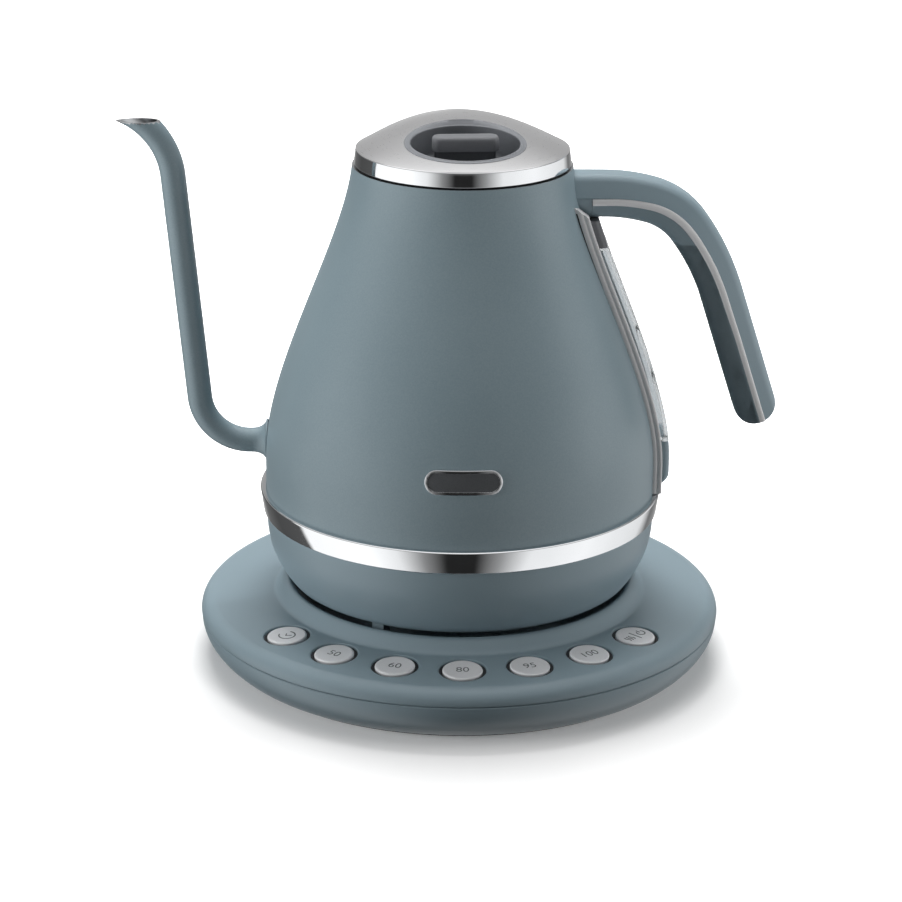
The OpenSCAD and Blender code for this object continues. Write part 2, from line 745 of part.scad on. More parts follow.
module thermal_cutout() color(charcoal) translate([cutout_at[0], cutout_at[1], spreader_z - fit - 8]) {
  cylinder(r = 7, h = 8);
  for (x = [-3, 2]) translate([x, -0.4, -5]) cube([1, 0.8, 6]);
}

module temperature_probe() color(steel) translate([probe_at[0], probe_at[1], 0]) {
  translate([0, 0, spreader_z - 12]) cylinder(d = probe_d, h = plate_z + heater_t + 4 - spreader_z + 12);
  translate([0, 0, plate_z + heater_t + 4]) sphere(d = probe_d);
  translate([0, 0, spreader_z - fit - 3]) cylinder(d = probe_d + 4, h = 3);
}

contact_low_z = underside_z + 0.4;
contact_sink = 2;

module contact_ring(r, grow) translate([0, 0, contact_low_z])
  tube(r + run_gap + contact_t + grow, contact_t + 2 * grow, cavity_top_z + contact_sink - contact_low_z + grow);

module centre_pin(grow) translate([0, 0, contact_low_z])
  cylinder(r = 2 + grow, h = cavity_top_z + contact_sink - contact_low_z + grow);

module kettle_connector() color(charcoal) difference() {
  union() {
    translate([0, 0, underside_z]) cylinder(r = housing_r, h = spreader_z - fit - underside_z);
    translate([0, 0, underside_z + bottom_t + fit]) cylinder(r = housing_r + 3, h = 2.4);
  }
  translate([0, 0, underside_z - 1]) cylinder(r = cavity_r, h = cavity_top_z - underside_z + 1);
  for (r = slot_in) contact_ring(r, fit);
  centre_pin(fit);
}

module kettle_contacts() color(brass) {
  for (r = slot_in) contact_ring(r, 0);
  centre_pin(0);
}

// ---------- kettle: spout ----------

module spout_path(r, more) rotate([90, 0, 0]) {
  start_x = -(side_r(spout_z) - vessel_wall - spout_inside) + more;
  translate([start_x, spout_z, 0]) rotate([0, -90, 0]) linear_extrude(spout_reach + start_x + eps) disc(r);
  translate(low_c) rotate(180 + spout_lean - lap_turn) rotate_extrude(angle = 90 - spout_lean + 2 * lap_turn)
    translate([low_bend_r, 0]) disc(r);
  translate(riser_foot) rotate([-90, 0, spout_lean]) translate([0, 0, -eps])
    linear_extrude(riser_l + 2 * eps) disc(r);
  translate(top_c) rotate(spout_lean - lap_turn) rotate_extrude(angle = tip_turn - spout_lean + more)
    translate([top_bend_r, 0]) disc(r);
}

module spout_tube() color(paint) difference() {
  spout_path(spout_r, 0);
  spout_path(spout_r - spout_wall, 2);
  translate([-2 * base_r, -vessel_r, tip_z]) cube([vessel_d, vessel_d, vessel_d]);
}

// ---------- kettle: handle ----------

// Stations along the handle's middle line, as [x, z, turn]; it starts at x0 and
// ends at a length along the straight grip
bend_steps = [3, 7, 4];
overrun = 1;
function stations(x0, length) = concat(
  [[x0, handle_z, 0]],
  [for (i = [0:2], j = [0:bend_steps[i] - 1])
    let (a = turned(i) + handle_a[i] * j / bend_steps[i],
         p = bend_start(i) + handle_r[i] * ([sin(a), cos(a)] - spoke(i))) [p[0], p[1], a]],
  [[grip_start[0], grip_start[1], grip_turn]],
  [let (p = grip_start + length * [cos(grip_turn), -sin(grip_turn)]) [p[0], p[1], grip_turn]]);

// Sweep of an outline in (outwards, sideways), listed counter-clockwise; its two
// halves run alongside each other, so that each end closes as a strip
module sweep(outline, x0, length) {
  line = stations(x0, length);
  n = len(outline);
  m = len(line);
  polyhedron(
    points = [for (q = line, p = outline) [q[0] + p[0] * sin(q[2]), p[1], q[1] + p[0] * cos(q[2])]],
    faces = concat(
      [for (k = [0:n / 2 - 2]) each [[n - 1 - k, n - 2 - k, k + 1], [n - 1 - k, k + 1, k]]],
      [for (k = [0:n / 2 - 2]) let (e = (m - 1) * n)
        each [[e + k, e + k + 1, e + n - 2 - k], [e + k, e + n - 2 - k, e + n - 1 - k]]],
      [for (i = [0:m - 2], k = [0:n - 1]) let (a = i * n, b = a + n, k2 = (k + 1) % n)
        each [[a + k, a + k2, b + k2], [a + k, b + k2, b + k]]]));
}

function box_outline(u0, u1, v0, v1) = [[u0, v0], [u1, v0], [u1, v1], [u0, v1]];
function turned_round(v) = [for (i = [len(v) - 1:-1:0]) v[i]];

// Half of a round-cornered outline, from one side over the outside to the other
function half_arc(inset) = let (r = handle_edge_r - inset, cu = handle_t / 2 - handle_edge_r,
                                cv = handle_w / 2 - handle_edge_r) concat(
  [[fit / 2, -cv - r]],
  [for (i = [0:corner_steps]) let (t = 90 * i / corner_steps - 90) [cu + r * cos(t), -cv + r * sin(t)]],
  [for (i = [0:corner_steps]) let (t = 90 * i / corner_steps) [cu + r * cos(t), cv + r * sin(t)]],
  [[fit / 2, cv + r]]);

// One moulding's outline: 1 is the outer, -1 the inner
function half_outline(half) = let (ring = concat(half_arc(0), turned_round(half_arc(handle_wall))))
  half == 1 ? ring : turned_round([for (p = ring) [-p[0], p[1]]]);

module strip_grooves(x0) for (y = [-1, 1])
  sweep(box_outline(-strip_w / 2 - fit, strip_w / 2 + fit,
                    y * handle_w / 2 - strip_t - fit, y * handle_w / 2 + strip_t + fit), x0, grip_l + 2 * overrun);

// Everything beyond the rounded free end
module grip_end_mask() translate([grip_start[0], 0, grip_start[1]]) rotate([0, grip_turn, 0])
  difference() {
    translate([grip_l - grip_end_r, -handle_w, -handle_t]) cube([grip_end_r * 2, 2 * handle_w, 2 * handle_t]);
    intersection() {
      rotate([90, 0, 0]) translate([grip_l / 2, 0, -handle_w])
        linear_extrude(2 * handle_w) soft_rect(grip_l, handle_t + 2 * fit, grip_end_r);
      translate([grip_l / 2, 0, -handle_t])
        linear_extrude(2 * handle_t) soft_rect(grip_l, handle_w + 2 * fit, handle_edge_r);
    }
  }

// The solid end of one moulding
module grip_plug(half) translate([grip_start[0], 0, grip_start[1]]) rotate([0, grip_turn + 90, 0])
  translate([0, 0, grip_l - grip_cap]) linear_extrude(grip_cap + overrun) mirror([1, 0])
    difference() {
      soft_rect(handle_t - 2, handle_w - 2, handle_edge_r - 1);
      translate([-half * (handle_t / 2 - fit), 0]) square([handle_t, 2 * handle_w], center = true);
    }

strip_x = collar_x + 3;
bracket_grip = 34;
screw_bend = bend1_turn / 2;

// Frame in the first bend: z outwards, y across
module at_handle_screw() let (c = bend_start(0) - handle_r[0] * spoke(0))
  translate([c[0], 0, c[1]]) rotate([0, screw_bend, 0]) translate([0, 0, handle_r[0]]) children();

module handle_screw_room(grow) at_handle_screw() for (y = [-1, 1])
  translate([0, y * handle_screw_y, -handle_t / 2 + 0.8]) {
    translate([0, 0, -2]) cylinder(r = head_r + 0.3, h = 2 + head_h + fit);
    cylinder(r = screw_r + grow, h = handle_t - 3);
  }

module boss_block(z0, z1) at_handle_screw()
  translate([-4.2, -handle_w / 2 + handle_wall - 0.4, z0]) cube([8.4, handle_w - 2 * handle_wall + 0.8, z1 - z0]);

module handle_outer() color(paint) difference() {
  union() {
    sweep(half_outline(1), rim_r / 2, grip_l + overrun);
    grip_plug(1);
    boss_block(bracket_t / 2 + fit, handle_t / 2 - handle_wall + 0.4);
  }
  strip_grooves(strip_x - fit);
  vessel_solid(fit);
  grip_end_mask();
  handle_screw_room(fit);
}

module handle_inner() color(paint) difference() {
  union() {
    sweep(half_outline(-1), collar_x + fit, grip_l + overrun);
    grip_plug(-1);
    boss_block(-handle_t / 2 + handle_wall - 0.4, -bracket_t / 2 - fit);
  }
  strip_grooves(collar_x);
  grip_end_mask();
  handle_screw_room(fit);
}

module handle_trim() color(polished) difference() {
  for (y = [-1, 1]) let (v = y * (handle_w - strip_t) / 2)
    sweep(box_outline(-strip_w / 2, strip_w / 2, v - strip_t / 2, v + strip_t / 2), strip_x, grip_l);
  grip_end_mask();
}

module bracket_path(grow) let (u = bracket_t / 2 + grow, v = bracket_w / 2 + grow)
  sweep(box_outline(-u, u, -v, v), rim_r / 2, bracket_grip + grow);

module handle_bracket() color(steel) difference() {
  bracket_path(0);
  vessel_solid(fit);
  handle_screw_room(fit);
}

module handle_screws() color(steel) at_handle_screw() for (y = [-1, 1])
  translate([0, y * handle_screw_y, -handle_t / 2 + 0.8]) screw(handle_t - 4.8);

module handle_collar() color(paint) difference() {
  translate([rim_r / 2, 0, 0]) linear_extrude(handle_z - fit)
    translate([(collar_x - rim_r / 2) / 2, 0]) soft_rect(collar_x - rim_r / 2, collar_w, 2);
  translate([0, 0, -1]) cylinder(r = base_r, h = block_z1 + 1);
  vessel_solid(fit);
  gauge_slab(frame_proud + fit, frame_w, frame_z0, frame_z1 + fit);
  bracket_path(fit);
}

// ---------- kettle: gauge ----------

// Slab along the vessel's right side: outer face at a distance from the vessel
module gauge_slab(proud, w, z0, z1) translate([0, w / 2, 0]) rotate([90, 0, 0])
  linear_extrude(w) polygon(concat(
    [[neck_r / 2, z1], [neck_r / 2, z0]],
    [for (i = [0:steps]) let (z = z0 + (z1 - z0) * i / steps) [side_r(z) + proud, z]]));

back_gap = seal_t + 2 * fit;
slot_z0 = block_z0 - fit;

module gauge_frame() color(polished) difference() {
  gauge_slab(frame_proud, frame_w, frame_z0, frame_z1);
  vessel_solid(back_gap);
  translate([0, -slot_half, slot_z0]) cube([vessel_d, 2 * slot_half, frame_slot_top - slot_z0]);
}

// Thin skin that follows the vessel, between two distances from it
module vessel_skin(d0, d1, z0, z1) let (zs = [for (i = [0:steps]) z0 + (z1 - z0) * i / steps])
  revolve(concat([for (z = zs) [side_r(z) + d1, z]],
                 [for (i = [steps:-1:0]) [side_r(zs[i]) + d0, zs[i]]]));

module gauge_seal() color(rubber) difference() {
  intersection() {
    vessel_skin(fit, fit + seal_t, frame_z0 + 0.3, frame_z1 - 0.3);
    translate([0, 0.3 - frame_w / 2, 0]) cube([vessel_d, frame_w - 0.6, vessel_top_z]);
  }
  at_port() translate([0, 0, -8]) cylinder(r = port_r + fit, h = 16);
  translate([0, 2 - window_w / 2, window_z0 + 2]) cube([vessel_d, window_w - 4, window_z1 - window_z0 - 4]);
}

module gauge_window() color([0.8, 0.85, 0.86, 0.5]) difference() {
  gauge_slab(window_proud, window_w, window_z0, window_z1);
  vessel_solid(back_gap);
  gauge_slab(window_proud - window_wall, window_w - 2 * window_wall,
             window_z0 + window_wall, window_z1 - window_wall);
  for (z = port_z) gauge_channel(z);
  mark_strips(fit);
}

// Water way between a port and the window
module gauge_channel(z) let (low = z < window_z0)
  gauge_slab(window_proud - 1.6, 2 * port_r + 0.4, low ? z - port_r - 0.2 : window_z1 - window_wall - 1,
             low ? window_z0 + window_wall + 1 : z + port_r + 0.2);

corner = 5;

module gauge_lower_block() color(paint) difference() {
  gauge_slab(window_proud - 0.1, window_w, block_z0, window_z0 - fit);
  vessel_solid(back_gap);
  gauge_channel(port_z[0]);
  translate([side_r(block_z0) + window_proud - corner, -window_w, block_z0 - eps]) difference() {
    cube([corner + 1, 2 * window_w, corner]);
    translate([0, -1, corner]) rotate([-90, 0, 0]) cylinder(r = corner - 0.1, h = 2 * window_w + 2);
  }
}

module gauge_upper_block() color(charcoal) difference() {
  gauge_slab(window_proud - 0.1, window_w, window_z1 + fit, frame_slot_top - fit);
  vessel_solid(back_gap);
  gauge_channel(port_z[1]);
}

module gauge_ports() color(rubber) at_port() difference() {
  translate([0, 0, -vessel_wall - 2.4]) cylinder(r = port_r, h = vessel_wall + 4.2);
  translate([0, 0, -8]) cylinder(r = port_r - 1.3, h = 16);
}

module mark_strips(grow) for (z = [mark_max_z, mark_min_z]) difference() {
  gauge_slab(window_proud + (grow > 0 ? 1 : 0), window_w - 6 + 2 * grow, z - mark_h / 2 - grow, z + mark_h / 2 + grow);
  gauge_slab(window_proud - 0.4 - grow, window_w, z - mark_h, z + mark_h);
}

module gauge_marks() color(paint) mark_strips(0);

// ---------- kettle: badge ----------

module badge(a, b, t) difference() {
  intersection() {
    translate([0, -vessel_r / 2, badge_z]) rotate([90, 0, 0]) linear_extrude(vessel_r) pill(a, b);
    vessel_solid(t + fit);
  }
  vessel_solid(fit);
}

module badge_rim() color(polished) difference() {
  badge(badge_w, badge_h, badge_t);
  translate([0, 0, badge_z]) rotate([90, 0, 0]) linear_extrude(base_r)
    pill(badge_w - 2 * badge_rim, badge_h - 2 * badge_rim);
}

module badge_plate() color(charcoal)
  badge(badge_w - 2 * badge_rim - 2 * fit, badge_h - 2 * badge_rim - 2 * fit, badge_t - 0.3);

// ---------- lid ----------

// Point of the off-centre dome: s is 1 at its foot and 0 at its top
function dome_at(r, h, s, a) = let (p = 1 - pow(s, dome_round))
  [r * s * cos(a), r * s * sin(a) + dome_back * pow(p, dome_drift), ring_top_z + fit + h * p];

module dome(r, h) {
  last = dome_rows * dome_cols;
  polyhedron(
    points = concat(
      [for (i = [0:dome_rows - 1], j = [0:dome_cols - 1])
        dome_at(r, h, pow(1 - i / dome_rows, 0.9), 360 * j / dome_cols)],
      [dome_at(r, h, 0, 0)]),
    faces = concat(
      [[for (j = [0:dome_cols - 1]) j]],
      [for (i = [0:dome_rows - 2], j = [0:dome_cols - 1]) let (k = (j + 1) % dome_cols)
        [i * dome_cols + j, (i + 1) * dome_cols + j, i * dome_cols + k]],
      [for (i = [0:dome_rows - 2], j = [0:dome_cols - 1]) let (k = (j + 1) % dome_cols)
        [(i + 1) * dome_cols + j, (i + 1) * dome_cols + k, i * dome_cols + k]],
      [for (j = [0:dome_cols - 1]) let (k = (j + 1) % dome_cols)
        [last - dome_cols + j, last, last - dome_cols + k]]));
}

// Frame of the recess: origin in the middle of its lip, tilted to the front
module at_recess() translate([0, -recess_front, ring_top_z + recess_up]) rotate([recess_tilt, 0, 0]) children();

module lid_shell() color(steel) rotate(lid_turn) {
  difference() {
    dome(ring_top_r, dome_h);
    translate([0, 0, -eps]) dome(ring_top_r - dome_wall, dome_h - dome_wall);
    at_recess() translate([0, 0, -6]) cylinder(r = recess_r + fit, h = 16);
  }
}

module lid_ring() color(polished) rotate(lid_turn) revolve([
  [ring_bottom_r - ring_t, ring_z], [ring_bottom_r, ring_z], [ring_top_r, ring_top_z],
  [ring_top_r - ring_t, ring_top_z]]);

// Level of the cup's underside, y back from the vessel's axis
function cup_under_z(y) = ring_top_z + recess_up - (recess_depth + cup_wall) / cos(recess_tilt)
  + (y + recess_front) * tan(recess_tilt);

module lid_cup() color(charcoal) rotate(lid_turn) difference() {
  union() {
    at_recess() {
      revolve([[0, -recess_depth - cup_wall], [cup_r + cup_wall, -recess_depth - cup_wall],
               [cup_r + cup_wall, -lip_t], [recess_r, -lip_t], [recess_r, 0], [cup_r, 0],
               [cup_r, -recess_depth], [0, -recess_depth]]);
      difference() {
        translate([0, 0, -lip_t / 2]) tube(recess_r - 2 * eps, 0.8, 4);
        rotate([back_rise, 0, 0]) translate([-base_r, -base_r, -0.3]) cube([2 * base_r, 2 * base_r, 10]);
      }
    }
    for (p = lid_boss_at) translate([p[0], p[1], lid_floor_z + fit])
      cylinder(r = lid_boss_r, h = cup_under_z(p[1]) + cup_wall / 2 - lid_floor_z - fit);
  }
  for (p = lid_boss_at) translate([p[0], p[1], plug_z + 0.8]) screw_room(5, 0);
}

module lid_grip() color(charcoal) rotate(lid_turn) at_recess() {
  translate([0, 0, bar_proud - bar_h]) linear_extrude(bar_h) soft_rect(bar_l, bar_t, 2.4);
  translate([0, 0, -recess_depth + fit]) linear_extrude(recess_depth + bar_proud - bar_h)
    square(pedestal, center = true);
}

module lid_liner() color(charcoal) rotate(lid_turn) difference() {
  union() {
    translate([0, 0, plug_z]) cylinder(r = plug_r, h = vessel_top_z + 1 - plug_z);
    translate([0, 0, vessel_top_z + run_gap]) cylinder(r = ring_top_r - ring_t - fit, h = liner_t);
  }
  translate([0, 0, lid_floor_z]) cylinder(r = plug_r - plug_wall, h = plug_h * 2);
  translate([0, 0, seal_z - fit]) tube(plug_r + 1, 1 + seal_in, seal_h + 2 * fit);
  for (p = lid_boss_at) translate([p[0], p[1], plug_z + 0.8]) screw_room(5, 2);
}

module lid_seal() color(rubber) translate([0, 0, seal_z])
  tube(mouth_r - run_gap, mouth_r - run_gap - plug_r + seal_in - fit, seal_h);

module lid_screws() color(steel) rotate(lid_turn)
  for (p = lid_boss_at) translate([p[0], p[1], plug_z + 0.8]) screw(5);

// ---------- draw ----------

base_tray();
base_cover();
foot_ring();
base_screws();
base_connector();
base_contacts();
control_board();
tact_switches();
board_screws();
power_board();
cord_gland();
button_gaskets();
button_1();
button_2();
button_3();
button_4();
button_5();
button_6();
button_7();
vessel();
chrome_band();
skirt();
bottom_cover();
bottom_screws();
rest_feet();
heater_plate();
heat_spreader();
heating_element();
thermal_cutout();
temperature_probe();
kettle_connector();
kettle_contacts();
spout_tube();
handle_outer();
handle_inner();
handle_trim();
handle_collar();
handle_bracket();
handle_screws();
gauge_frame();
gauge_seal();
gauge_window();
gauge_upper_block();
gauge_lower_block();
gauge_ports();
gauge_marks();
badge_rim();
badge_plate();
lid_shell();
lid_ring();
lid_cup();
lid_grip();
lid_liner();
lid_seal();
lid_screws();
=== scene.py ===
import json
import logging
import math
from dataclasses import dataclass
from enum import Enum
from itertools import pairwise

import bpy
from mathutils import Matrix, Vector


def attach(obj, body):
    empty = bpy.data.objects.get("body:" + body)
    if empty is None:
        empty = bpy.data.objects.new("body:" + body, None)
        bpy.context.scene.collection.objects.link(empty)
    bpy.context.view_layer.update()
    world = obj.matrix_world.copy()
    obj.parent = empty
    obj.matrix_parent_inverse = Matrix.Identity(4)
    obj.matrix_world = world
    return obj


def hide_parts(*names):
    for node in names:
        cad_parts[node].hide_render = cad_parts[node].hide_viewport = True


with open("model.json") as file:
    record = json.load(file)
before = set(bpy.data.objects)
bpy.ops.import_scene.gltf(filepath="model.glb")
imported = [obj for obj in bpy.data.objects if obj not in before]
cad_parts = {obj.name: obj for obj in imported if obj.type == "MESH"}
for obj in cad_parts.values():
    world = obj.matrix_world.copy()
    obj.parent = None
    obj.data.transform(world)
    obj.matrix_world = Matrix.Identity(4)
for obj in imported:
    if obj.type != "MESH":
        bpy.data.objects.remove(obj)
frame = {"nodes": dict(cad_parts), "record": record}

logging.basicConfig(level=logging.INFO, format="%(message)s")
log = logging.getLogger("kettle")

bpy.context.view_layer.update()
MM = 0.001
Place = tuple[float, float, float]
Outline = list[tuple[float, float]]
Thing = bpy.types.Object
Socket = bpy.types.NodeSocket
Colour = tuple[float, float, float, float]


# ---------- the bench: small modelling steps ----------


def clear_bench() -> None:
    """Leave edit mode and select nothing."""
    if bpy.context.object and bpy.context.object.mode != "OBJECT":
        bpy.ops.object.mode_set(mode="OBJECT")
    bpy.ops.object.select_all(action="DESELECT")


def pick(obj: Thing) -> None:
    """Select one object alone and make it active."""
    clear_bench()
    obj.select_set(True)
    bpy.context.view_layer.objects.active = obj


def metres(point: Place) -> Vector:
    """Turn a point in millimetres into metres."""
    return Vector(point) * MM


def on_circle(radius: float, degrees: float) -> tuple[float, float]:
    """Give the point of a circle round the origin at an angle in degrees."""
    return radius * math.cos(math.radians(degrees)), radius * math.sin(math.radians(degrees))


def softened(corners: list[tuple[float, float, float]], steps: int = 5, closed: bool = True) -> Outline:
    """Round the corners of an outline.

    Args:
        corners: x, y and corner radius of each corner, in order.
        steps: Facets of each rounded corner.
        closed: Whether the last corner joins the first.

    Returns:
        The outline's points, in the same order.
    """
    points: Outline = []
    count = len(corners)
    for i, (x, y, radius) in enumerate(corners):
        if radius <= 0 or (not closed and i in (0, count - 1)):
            points.append((x, y))
            continue
        here = Vector((x, y))
        back = Vector(corners[i - 1][:2]) - here
        ahead = Vector(corners[(i + 1) % count][:2]) - here
        half = back.angle(ahead) / 2
        if half > math.radians(89.5):
            points.append((x, y))
            continue
        reach = min(radius / math.tan(half), back.length * 0.49, ahead.length * 0.49)
        a, b = here + back.normalized() * reach, here + ahead.normalized() * reach
        centre = here + (back.normalized() + ahead.normalized()).normalized() * (reach / math.cos(half))
        start, sweep = a - centre, (a - centre).angle_signed(b - centre)
        for k in range(steps + 1):
            points.append(tuple(centre + Matrix.Rotation(-sweep * k / steps, 2) @ start))
    return points


def named(name: str) -> Thing:
    """Name the active object and its mesh."""
    obj = bpy.context.object
    obj.name = obj.data.name = name
    return obj


def extrude(step: Vector | Place) -> None:
    """Extrude the selection by a step in metres."""
    bpy.ops.mesh.extrude_region_move(TRANSFORM_OT_translate={"value": step})


def draw_loop(name: str, points: list[Place]) -> Thing:
    """Draw a closed loop of edges, vertex by vertex, and stay in edit mode with all of it selected.

    Args:
        name: The new object's name.
        points: The loop's points in millimetres.

    Returns:
        The object that holds the loop.
    """
    clear_bench()
    bpy.ops.mesh.primitive_plane_add(size=MM, location=metres(points[0]))
    bpy.ops.object.transform_apply()
    obj = named(name)
    bpy.ops.object.mode_set(mode="EDIT")
    bpy.ops.mesh.select_mode(type="VERT")
    bpy.ops.mesh.select_all(action="SELECT")
    bpy.ops.mesh.merge(type="CENTER")
    for a, b in pairwise(points):
        extrude(metres(b) - metres(a))
    join_ends(obj)
    return obj


def join_ends(obj: Thing) -> None:
    """Join the first and last vertex of a drawn line with an edge.

    Args:
        obj: The object that holds the line, in edit mode.
    """
    bpy.ops.object.mode_set(mode="OBJECT")
    mesh = obj.data
    uses = [0] * len(mesh.vertices)
    for edge in mesh.edges:
        for v in edge.vertices:
            uses[v] += 1
    for v in mesh.vertices:
        v.select = uses[v.index] == 1
    for group in (mesh.edges, mesh.polygons):
        for item in group:
            item.select = False
    bpy.ops.object.mode_set(mode="EDIT")
    bpy.ops.mesh.edge_face_add()
    bpy.ops.mesh.select_all(action="SELECT")


def close_up(obj: Thing) -> Thing:
    """Merge doubled vertices, point the faces outwards and leave edit mode.

    Args:
        obj: The piece, in edit mode or not.

    Returns:
        The same piece.
    """
    if obj.mode != "EDIT":
        pick(obj)
        bpy.ops.object.mode_set(mode="EDIT")
    bpy.ops.mesh.select_all(action="SELECT")
    bpy.ops.mesh.remove_doubles(threshold=0.000004)
    bpy.ops.mesh.normals_make_consistent(inside=False)
    bpy.ops.object.mode_set(mode="OBJECT")
    return obj


def filled_loop(name: str, points: list[Place]) -> Thing:
    """Draw a closed loop and fill it with one face, still in edit mode.

    Args:
        name: The new object's name.
        points: The loop's points in millimetres.

    Returns:
        The object.
    """
    obj = draw_loop(name, points)
    bpy.ops.mesh.edge_face_add()
    return obj


def turn(name: str, profile: Outline, sides: int = 192, centre: Place = (0, 0, 0),
         axis: Place = (0, 0, 1), spoke: Place = (1, 0, 0)) -> Thing:
    """Turn a closed profile round an axis, as on a lathe.

    Args:
        name: The piece's name.
        profile: Radius and height of each point of the profile, in millimetres.
        sides: Steps of the full turn.
        centre: A point of the axis.
        axis: The axis's direction, of length 1.
        spoke: A direction across the axis, of length 1.

    Returns:
        The turned piece, closed.
    """
    c, a, s = Vector(centre), Vector(axis), Vector(spoke)
    obj = draw_loop(name, [tuple(c + s * r + a * h) for r, h in profile])
    bpy.ops.mesh.spin(steps=sides, angle=2 * math.pi, center=metres(centre), axis=a)
    return close_up(obj)


def rod(name: str, radius: float, ends: tuple[float, float], *how: int | Place) -> Thing:
    """Make a round rod for cutting.

    Args:
        name: The rod's name.
        radius: Its radius in millimetres.
        ends: Where it starts and ends along the axis.
        how: Its sides, centre, axis and spoke, as for turn.

    Returns:
        The rod.
    """
    a, b = ends
    return turn(name, [(0, a), (radius, a), (radius, b), (0, b)], *how)


@dataclass(frozen=True)
class Station:
    """A place on a path in the XZ plane, with the path's heading in degrees (0 is +X, 90 is +Z)."""

    x: float
    z: float
    heading: float

    def point(self, out: float, across: float) -> Place:
        """Give the point beside the path: out to its left, across along Y."""
        h = math.radians(self.heading)
        return self.x - out * math.sin(h), across, self.z + out * math.cos(h)

    def beside(self, out: float) -> "Station":
        """Give the station moved to the path's left."""
        x, _, z = self.point(out, 0)
        return Station(x, z, self.heading)

    def ahead(self, length: float) -> "Station":
        """Give the station further along the heading."""
        h = math.radians(self.heading)
        return Station(self.x + length * math.cos(h), self.z + length * math.sin(h), self.heading)

    def bent(self, radius: float, angle: float) -> "Station":
        """Give the station after a bend.

        Args:
            radius: The bend's radius.
            angle: Its angle in degrees, positive to the left.

        Returns:
            The station.
        """
        side = math.copysign(radius, angle)
        h, h2 = math.radians(self.heading), math.radians(self.heading + angle)
        return Station(self.x - side * math.sin(h) + side * math.sin(h2),
                       self.z + side * math.cos(h) - side * math.cos(h2), self.heading + angle)


def walk(start: Station, legs: list[tuple[float, float, int]]) -> list[Station]:
    """Follow straight runs and bends.

    Args:
        start: The first station.
        legs: For a run, its length, 0 and steps; for a bend, its radius, angle and steps.

    Returns:
        All stations on the way.
    """
    path = [start]
    for size, angle, steps in legs:
        last = path[-1]
        for k in range(1, steps + 1):
            path.append(last.bent(size, angle * k / steps) if angle else last.ahead(size * k / steps))
    return path


def sweep(name: str, outline: Outline, path: list[Station]) -> Thing:
    """Draw a filled outline across a path's start and extrude it from station to station.

    Args:
        name: The piece's name.
        outline: Points as (out, across), in millimetres.
        path: The stations.

    Returns:
        The swept piece, closed at both ends.
    """
    obj = filled_loop(name, [path[0].point(u, v) for u, v in outline])
    for a, b in pairwise(path):
        extrude(((b.x - a.x) * MM, 0, (b.z - a.z) * MM))
        if b.heading != a.heading:
            bpy.ops.transform.rotate(value=math.radians(b.heading - a.heading), orient_axis="Y",
                                     center_override=metres((b.x, 0, b.z)))
    return close_up(obj)


def stack(name: str, outline: Outline, levels: list[tuple[float, float, float]]) -> Thing:
    """Extrude a level outline upwards, moved along X and scaled along X at each level.

    Args:
        name: The piece's name.
        outline: Points as (x, y) about the first level's own origin.
        levels: For each level, its x shift, its height and its scale along X.

    Returns:
        The closed piece.
    """
    x0, z0, k0 = levels[0]
    obj = filled_loop(name, [(x0 + u * k0, v, z0) for u, v in outline])
    for (xa, za, ka), (xb, zb, kb) in pairwise(levels):
        extrude(((xb - xa) * MM, 0, (zb - za) * MM))
        if kb != ka:
            bpy.ops.transform.resize(value=(kb / ka, 1, 1), center_override=metres((xb, 0, zb)))
    return close_up(obj)


def plate(name: str, outline: list[Place], rise: Place) -> Thing:
    """Make a flat plate from an outline and a direction of thickness.

    Args:
        name: The plate's name.
        outline: Its corner points in one plane.
        rise: The vector from its lower to its upper face.

    Returns:
        The closed plate.
    """
    obj = filled_loop(name, outline)
    extrude(metres(rise))
    return close_up(obj)


def soft_block(name: str, size: Place, plan_round: float, edge_round: float) -> Thing:
    """Make a block on the origin with rounded upright edges and a rounded top rim.

    Args:
        name: The block's name.
        size: Its length, width and height, with its foot at height 0.
        plan_round: Radius of the upright edges.
        edge_round: Radius of the top rim.

    Returns:
        The block.
    """
    x, y = size[0] / 2, size[1] / 2
    corners = [(u, v, plan_round) for u, v in ((-x, -y), (x, -y), (x, y), (-x, y))]
    obj = filled_loop(name, [(u, v, 0) for u, v in softened(corners, 6)])
    extrude((0, 0, (size[2] - edge_round) * MM))
    kx = ky = 1.0
    for angle in range(18, 91, 18):
        t, t0 = math.radians(angle), math.radians(angle - 18)
        rise = edge_round * (math.sin(t) - math.sin(t0))
        extrude((0, 0, rise * MM))
        nx, ny = 1 - edge_round * (1 - math.cos(t)) / x, 1 - edge_round * (1 - math.cos(t)) / y
        bpy.ops.transform.resize(value=(nx / kx, ny / ky, 1), center_override=(0, 0, 0))
        kx, ky = nx, ny
    return close_up(obj)


def put(obj: Thing, place: Matrix) -> Thing:
    """Set a piece made about the origin in its place, which goes into its mesh.

    Args:
        obj: The piece.
        place: Its frame in the kettle.

    Returns:
        The same piece.
    """
    pick(obj)
    obj.matrix_world = place
    bpy.ops.object.transform_apply()
    return obj


def modify(obj: Thing, kind: str, **settings: object) -> Thing:
    """Put a modifier on a piece, with its settings, and apply it.

    Args:
        obj: The piece.
        kind: The modifier's type.
        settings: Its properties by name.

    Returns:
        The same piece.
    """
    pick(obj)
    modifier = obj.modifiers.new(kind, kind)
    for key, value in settings.items():
        setattr(modifier, key, value)
    bpy.ops.object.modifier_apply(modifier=modifier.name)
    return obj


def cut(obj: Thing, tool: Thing, operation: str = "DIFFERENCE") -> Thing:
    """Cut a piece with a tool piece, which is used up.

    Args:
        obj: The piece.
        tool: The cutting shape.
        operation: DIFFERENCE to take the tool's shape away, INTERSECT to keep what both share.

    Returns:
        The cut piece.
    """
    modify(obj, "BOOLEAN", object=tool, solver="EXACT", operation=operation)
    bpy.data.objects.remove(tool)
    return obj


